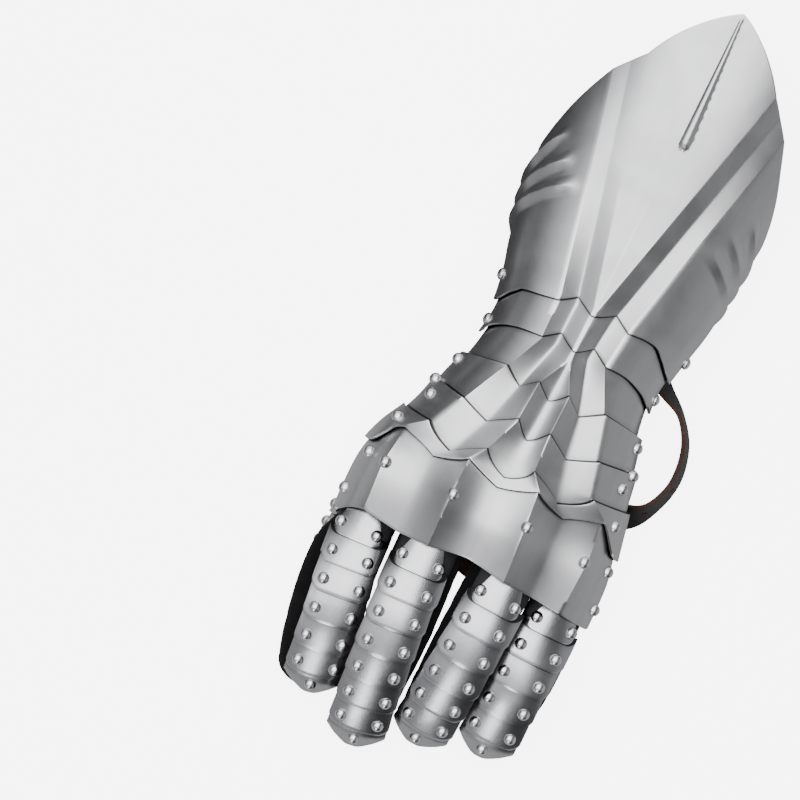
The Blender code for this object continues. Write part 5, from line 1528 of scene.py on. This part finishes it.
PALM_STRAP_ROUTE = (
    (-36.0, -111.0, 2.6, 0), (-28.0, -128.0, 5.0, 0), (-10.0, -143.0, 8.0, 0), (12.0, -148.0, 9.0, 0),
    (33.0, -140.0, 9.5, 0), (45.5, -129.0, 11.5, 0), (53.5, -120.5, 15.5, 0), (58.0, -118.0, 22.0, 0),
    (59.5, -117.6, 31.0, 0),
)
PALM_STRAP_WIDTH = 9.0
PALM_STRAP_LEATHER = 1.5
TIP_LENGTH = 9.0
RIBBON_COLUMNS = 10


def ribbon_frame(route, n):
    """A strap's middle point, and the directions along, across and through it, at a route's point."""
    point = Vector(route[n][:3])
    along = Vector(route[min(n + 1, len(route) - 1)][:3]) - Vector(route[max(n - 1, 0)][:3])
    along.normalize()
    flat = Vector((0, 0, 1)).cross(along).normalized()
    turn = radians(route[n][3])
    across = flat * cos(turn) + along.cross(flat) * sin(turn)
    return point, along, across, along.cross(across)


def ribbon_skin(route, width, pointed):
    """A strap's middle surface; a pointed one narrows to its tip."""
    count = len(route) - 1
    step = (Vector(route[-1][:3]) - Vector(route[-2][:3])).length

    def where(column, row):
        point, _, across, _ = ribbon_frame(route, row)
        to_tip = (count - row) * step / TIP_LENGTH
        narrow = sin(min(to_tip, 1.0) * pi / 2) ** 0.8 * 0.82 + 0.18 if pointed else 1.0
        return point + across * width * narrow * (column / RIBBON_COLUMNS - 0.5)

    return grid_sheet(RIBBON_COLUMNS, count, where)


print("the wrist strap's route has", len(WRIST_STRAP_ROUTE), "points")

# %% The buckle's places, which the strap's hole needs
BUCKLE_Y = -92.0
ROLLER = (34.5, 3.75)
BUCKLE_BAR = (50.0, 10.3)
BUCKLE_HALF_WIDTH = 9.4
BUCKLE_WIRE = 1.1
ROLLER_RADIUS = 1.5
TONGUE_WIRE = 0.8


def tongue_points():
    """The tongue's line: an eye round the bar, then down through the strap and under the roller."""
    roller, bar = Vector((ROLLER[0], BUCKLE_Y, ROLLER[1])), Vector((BUCKLE_BAR[0], BUCKLE_Y, BUCKLE_BAR[1]))
    eye = BUCKLE_WIRE + 0.3 + TONGUE_WIRE
    under = roller - Vector((0, 0, ROLLER_RADIUS + TONGUE_WIRE + 0.35))
    points = [bar + Vector((cos(a), 0, sin(a))) * eye for a in (radians(110 - 12 * n) for n in range(22))]
    points.append(bar.lerp(roller, 0.36) + Vector((0.3, 0, -0.8)))
    return points + [under + Vector((0.8, 0, 0)), under - Vector((1.5, 0, 0))]


STRAP_FINISHES = (STRAP_FINISH, FLESH_FINISH, RAW_EDGE_FINISH)


def make_wrist_strap():
    """The buckled strap, with the holes of its tail."""
    route = smooth_route(WRIST_STRAP_ROUTE, 240)
    holes = bmesh.new()
    for share in WRIST_STRAP_HOLES:
        point, _, _, through = ribbon_frame(route, round(share * (len(route) - 1)))
        rod(holes, point - through * 4, point + through * 4, 1.6)
    start, end = tongue_points()[-3:-1]
    rod(holes, start + (start - end) * 0.1, end, 1.6)
    finishes = (FLESH_FINISH, STRAP_FINISH, RAW_EDGE_FINISH)
    shape = walled(ribbon_skin(route, WRIST_STRAP_WIDTH, True), finishes, STRAP_LEATHER, 0.0, 0.4,
                   as_object("strap_holes", holes))
    finish_piece("wrist_strap_leather", shape, finishes, "hand", ("wrist_strap",))


def make_palm_strap():
    """The thin strap across the roots of the fingers."""
    shape = walled(ribbon_skin(smooth_route(PALM_STRAP_ROUTE, 90), PALM_STRAP_WIDTH, False), STRAP_FINISHES,
                   PALM_STRAP_LEATHER, 0.0, 0.35)
    finish_piece("palm_strap_leather", shape, STRAP_FINISHES, "hand", ("palm_strap",))


make_wrist_strap()
make_palm_strap()
print("strap pieces:", [name for name in MADE if "strap" in name])

# %% The wide strap of the cuff, pressed flat where it rests
CUFF_STRAP_ENDS = (2.0, 37.0)
CUFF_STRAP_ANGLES = (203.0, 337.0)
CUFF_STRAP_LEATHER = 2.4


def make_cuff_strap():
    columns, rows = 110, 26
    first, last = CUFF_STRAP_ANGLES

    def where(column, row):
        y = CUFF_STRAP_ENDS[1] + (CUFF_STRAP_ENDS[0] - CUFF_STRAP_ENDS[1]) * row / rows
        angle = first + (last - first) * column / columns
        point = envelope(y, angle, plate_lift("cuff_plate", y, 0.0) - STEEL - GAP * 2)[0]
        point.z = max(point.z, 0.0)
        return point

    shape = walled(grid_sheet(columns, rows, where), STRAP_FINISHES, CUFF_STRAP_LEATHER, -1.0, 0.45)
    finish_piece("cuff_strap_leather", shape, STRAP_FINISHES, "cuff", ("cuff_strap",))


make_cuff_strap()
print("the cuff's strap is", CUFF_STRAP_ENDS[1] - CUFF_STRAP_ENDS[0], "mm wide")

# %% [markdown]
# ## Buckle
#
# The buckle is bent nickel wire with a roller. A wire is a curve with a round bevel, which is turned into a
# mesh once its line is right. The leather that holds it goes round the bar and up inside the lames, and has a
# slit for the tongue.

# %% Buckle, tongue and the leather that holds the bar
BUCKLE_STRAP_ROUTE = (
    (54.4, 30.0), (54.5, 25.0), (54.3, 20.0), (53.8, 15.5), (52.6, 11.6), (51.8, 9.2), (50.0, 8.15),
    (48.3, 8.9), (47.85, 10.6), (48.7, 12.3), (50.4, 14.0), (51.5, 16.5), (52.0, 19.0),
)
BUCKLE_STRAP_WIDTH = 11.0
TONGUE_SLIT = (8.6, 3.2, 8.0)
BUCKLE_STRAP_LEATHER = 1.3
BUCKLE_CORNER = 0.45


def wire_shape(points, radius, cyclic):
    """A round wire along points in millimetres, as a bmesh."""
    curve = bpy.data.curves.new("wire", "CURVE")
    curve.dimensions = "3D"
    curve.bevel_depth = radius * MM
    curve.bevel_resolution = 4
    curve.use_fill_caps = True
    line = curve.splines.new("POLY")
    line.points.add(len(points) - 1)
    for spot, point in zip(line.points, points):
        spot.co = (*place(point), 1.0)
    line.use_cyclic_u = cyclic
    draft = bpy.data.objects.new("wire", curve)
    bpy.context.scene.collection.objects.link(draft)
    shape = take_shape(draft)
    bmesh.ops.remove_doubles(shape, verts=shape.verts, dist=0.00001)
    bmesh.ops.recalc_face_normals(shape, faces=shape.faces)
    return shape


def make_buckle():
    """The frame with its roller, and the tongue."""
    (roller_x, roller_z), (bar_x, bar_z) = ROLLER, BUCKLE_BAR
    points = []
    for n in range(96):
        turn = 2 * pi * (n + 0.5) / 96
        u = copysign(abs(cos(turn)) ** BUCKLE_CORNER, cos(turn)) * 0.5 + 0.5
        v = copysign(abs(sin(turn)) ** BUCKLE_CORNER, sin(turn)) * BUCKLE_HALF_WIDTH
        points.append((roller_x + (bar_x - roller_x) * u, BUCKLE_Y + v, roller_z + (bar_z - roller_z) * u))
    shape = wire_shape(points, BUCKLE_WIRE, True)
    reach = BUCKLE_HALF_WIDTH - 2.2
    ends = [(roller_x, BUCKLE_Y + side * reach, roller_z) for side in (-1, 1)]
    rod(shape, *ends, ROLLER_RADIUS, 28)
    finish_piece("buckle_frame_wire", shape, (NICKEL_FINISH,), "hand", ("buckle_frame",), 50.0)
    tongue = wire_shape(tongue_points(), TONGUE_WIRE, False)
    finish_piece("buckle_tongue_wire", tongue, (NICKEL_FINISH,), "hand", ("buckle_tongue",), 50.0)


def make_buckle_strap():
    """The leather round the buckle's bar."""
    rows = 90
    route = smooth_route(BUCKLE_STRAP_ROUTE, rows)

    def where(column, row):
        x, z = route[rows - row]
        return x, BUCKLE_Y + BUCKLE_STRAP_WIDTH * (column / RIBBON_COLUMNS - 0.5), z

    slit = bmesh.new()
    centre = Matrix.Translation(place((BUCKLE_BAR[0], BUCKLE_Y, BUCKLE_BAR[1])))
    bmesh.ops.create_cube(slit, size=MM, matrix=centre @ Matrix.Diagonal((*TONGUE_SLIT, 1.0)))
    shape = walled(grid_sheet(RIBBON_COLUMNS, rows, where), STRAP_FINISHES, BUCKLE_STRAP_LEATHER, 0.0, 0.3,
                   as_object("slit", slit))
    finish_piece("buckle_strap_leather", shape, STRAP_FINISHES, "hand", ("buckle_strap",))


make_buckle()
make_buckle_strap()
print("buckle pieces:", [name for name in MADE if name.startswith("buckle_")])

# %% [markdown]
# ## Floor, light and camera
#
# Steel shows its surroundings more than itself, so the light is made of large soft panels. One broad panel
# hangs over the gauntlet, and a small one stands low in front of the fingers. The sky is dark low down on the
# thumb side, bright from there to overhead, dark again on the other side and a little grey at its foot. A
# ridge then has a light side and a darker one, and the cuff's sides turn dark before they meet the floor. In
# the steel the floor shows painted reflection tones: grey beside the hand, and nearly black beside the cuff
# on the thumb side.

# %% The floor
FLOOR_SIZE = 3.2
FLOOR_GLOW = 6.0
FLOOR_PAINTED_REFLECTIONS_ALONG = (-0.06, 0.02)  # where its painted reflection tone changes, in metres along the arm
# The painted reflection tones, seen only in the steel: beside the hand, and beside the cuff on the thumb
# side.
FLOOR_PAINTED_REFLECTIONS = ((0.4, 0.4, 0.4), (0.03, 0.03, 0.03))


def make_floor():
    """A plain pale floor, bright to the camera, with painted reflection tones in the steel, dark on the thumb
    side.
    """
    shape = bmesh.new()
    bmesh.ops.create_grid(shape, x_segments=1, y_segments=1, size=FLOOR_SIZE / 2)
    bmesh.ops.translate(shape, vec=(0, 0, -0.0003), verts=shape.verts)
    mesh = bpy.data.meshes.new("floor")
    shape.to_mesh(mesh)
    shape.free()
    floor = bpy.data.objects.new("floor", mesh)
    bpy.context.scene.collection.objects.link(floor)
    material, tree, shader, _, position = new_finish("pale_floor", 0.85, 0.0, 0.02, 0.0001)
    tone = noise_on(tree, position, 6.0)
    colour = blend_colours(tree, tone, (0.84, 0.84, 0.84), (0.88, 0.88, 0.88))
    parts = add_node(tree, "SeparateXYZ", {0: position})
    beside = reckon(tree, "LESS_THAN", parts.outputs[0], 0.0)
    along = span(tree, parts.outputs[1], *FLOOR_PAINTED_REFLECTIONS_ALONG, 0.0, 1.0, "SMOOTHSTEP")
    # the floor's colour in glossy rays is a painted reflection: grey, and nearly black beside the cuff on the
    # thumb side
    painted_reflection = blend_colours(tree, reckon(tree, "MULTIPLY", along, beside), *FLOOR_PAINTED_REFLECTIONS)
    ray = tree.nodes.new("ShaderNodeLightPath")
    colour = blend_colours(tree, ray.outputs["Is Glossy Ray"], colour, painted_reflection)
    tree.links.new(colour, shader.inputs["Base Color"])
    glow = reckon(tree, "MULTIPLY", ray.outputs["Is Camera Ray"], FLOOR_GLOW)
    tree.links.new(glow, shader.inputs["Emission Strength"])
    shader.inputs["Emission Color"].default_value = (1.0, 1.0, 1.0, 1.0)
    mesh.materials.append(material)


make_floor()
print("the floor is", FLOOR_SIZE, "m wide")

# %% The camera, straight above, with the fingers to the lower left
CAMERA_UP = Vector((-0.44, 0.898, 0.0)).normalized()
CAMERA_OVER = (-0.067, -0.0347)
CAMERA_HEIGHT = 1.845
CAMERA_LENS = 168.6


def aim(thing, away):
    """Turns a camera or light so that its back faces along a direction."""
    right = CAMERA_UP.cross(away).normalized()
    up = away.cross(right)
    thing.matrix_world = Matrix.Translation(thing.location) @ Matrix((right, up, away)).transposed().to_4x4()


def make_camera():
    lens = bpy.data.cameras.new("camera")
    lens.lens = CAMERA_LENS
    lens.sensor_width = 36.0
    camera = bpy.data.objects.new("camera", lens)
    bpy.context.scene.collection.objects.link(camera)
    camera.location = (*CAMERA_OVER, CAMERA_HEIGHT)
    aim(camera, Vector((0, 0, 1)))
    bpy.context.scene.camera = camera


make_camera()
print("the camera is", CAMERA_HEIGHT, "m up")

# %% Soft light
#          name         x, y and height of the middle, width across the arm, length, power
PANELS = (
    ("overhead", -0.12, 0.05, 0.9, 0.7, 0.9, 5.0),
    ("front_strip", 0.0, -1.1, 0.75, 0.22, 0.7, 2.0),
)
#                share of the way across, from the thumb side; brightness
SKY_ACROSS = ((0.0, 0.1), (0.06, 0.14), (0.13, 0.6), (0.22, 1.15), (0.56, 1.25), (0.61, 0.8), (0.68, 0.16),
              (0.85, 0.13), (0.92, 0.38), (1.0, 0.42))
SKY_FRONT = 0.28  # how bright the sky is towards the fingertips, as a share of the rest


def make_panel(name, x, y, height, width, length, power):
    """A soft rectangular light that faces the middle of the gauntlet."""
    light = bpy.data.lights.new(name, "AREA")
    light.shape = "RECTANGLE"
    light.size, light.size_y = width, length
    light.energy = power
    panel = bpy.data.objects.new(name, light)
    bpy.context.scene.collection.objects.link(panel)
    panel.location = Vector((x, y, height))
    bpy.context.view_layer.update()
    away = (panel.location - Vector((0, 0, 0.05))).normalized()
    across = Vector((0, 1, 0)).cross(away).normalized()
    panel.matrix_world = Matrix.Translation(panel.location) @ Matrix(
        (across, away.cross(across), away)).transposed().to_4x4()


def make_sky():
    """Bands of light across the arm: black low on the thumb side, bright above, dark and then grey beyond."""
    world = bpy.data.worlds.new("studio")
    bpy.context.scene.world = world
    world.use_nodes = True
    tree = world.node_tree
    background = tree.nodes["Background"]
    direction = tree.nodes.new("ShaderNodeTexCoord").outputs["Generated"]
    parts = add_node(tree, "SeparateXYZ", {0: direction})
    ramp = tree.nodes.new("ShaderNodeValToRGB")
    ramp.color_ramp.interpolation = "EASE"
    while len(ramp.color_ramp.elements) < len(SKY_ACROSS):
        ramp.color_ramp.elements.new(0.5)
    for mark, (share, light) in zip(ramp.color_ramp.elements, SKY_ACROSS):
        mark.position = share
        mark.color = (light, light, light * 1.02, 1.0)
    tree.links.new(span(tree, parts.outputs[0], -1.0, 1.0, 0.0, 1.0), ramp.inputs[0])
    front = span(tree, parts.outputs[1], -0.75, -0.2, SKY_FRONT, 1.0, "SMOOTHSTEP")
    tree.links.new(ramp.outputs[0], background.inputs["Color"])
    tree.links.new(front, background.inputs["Strength"])


for panel in PANELS:
    make_panel(*panel)
make_sky()
print(len(PANELS), "soft panels")

print("pieces made:", len(MADE))
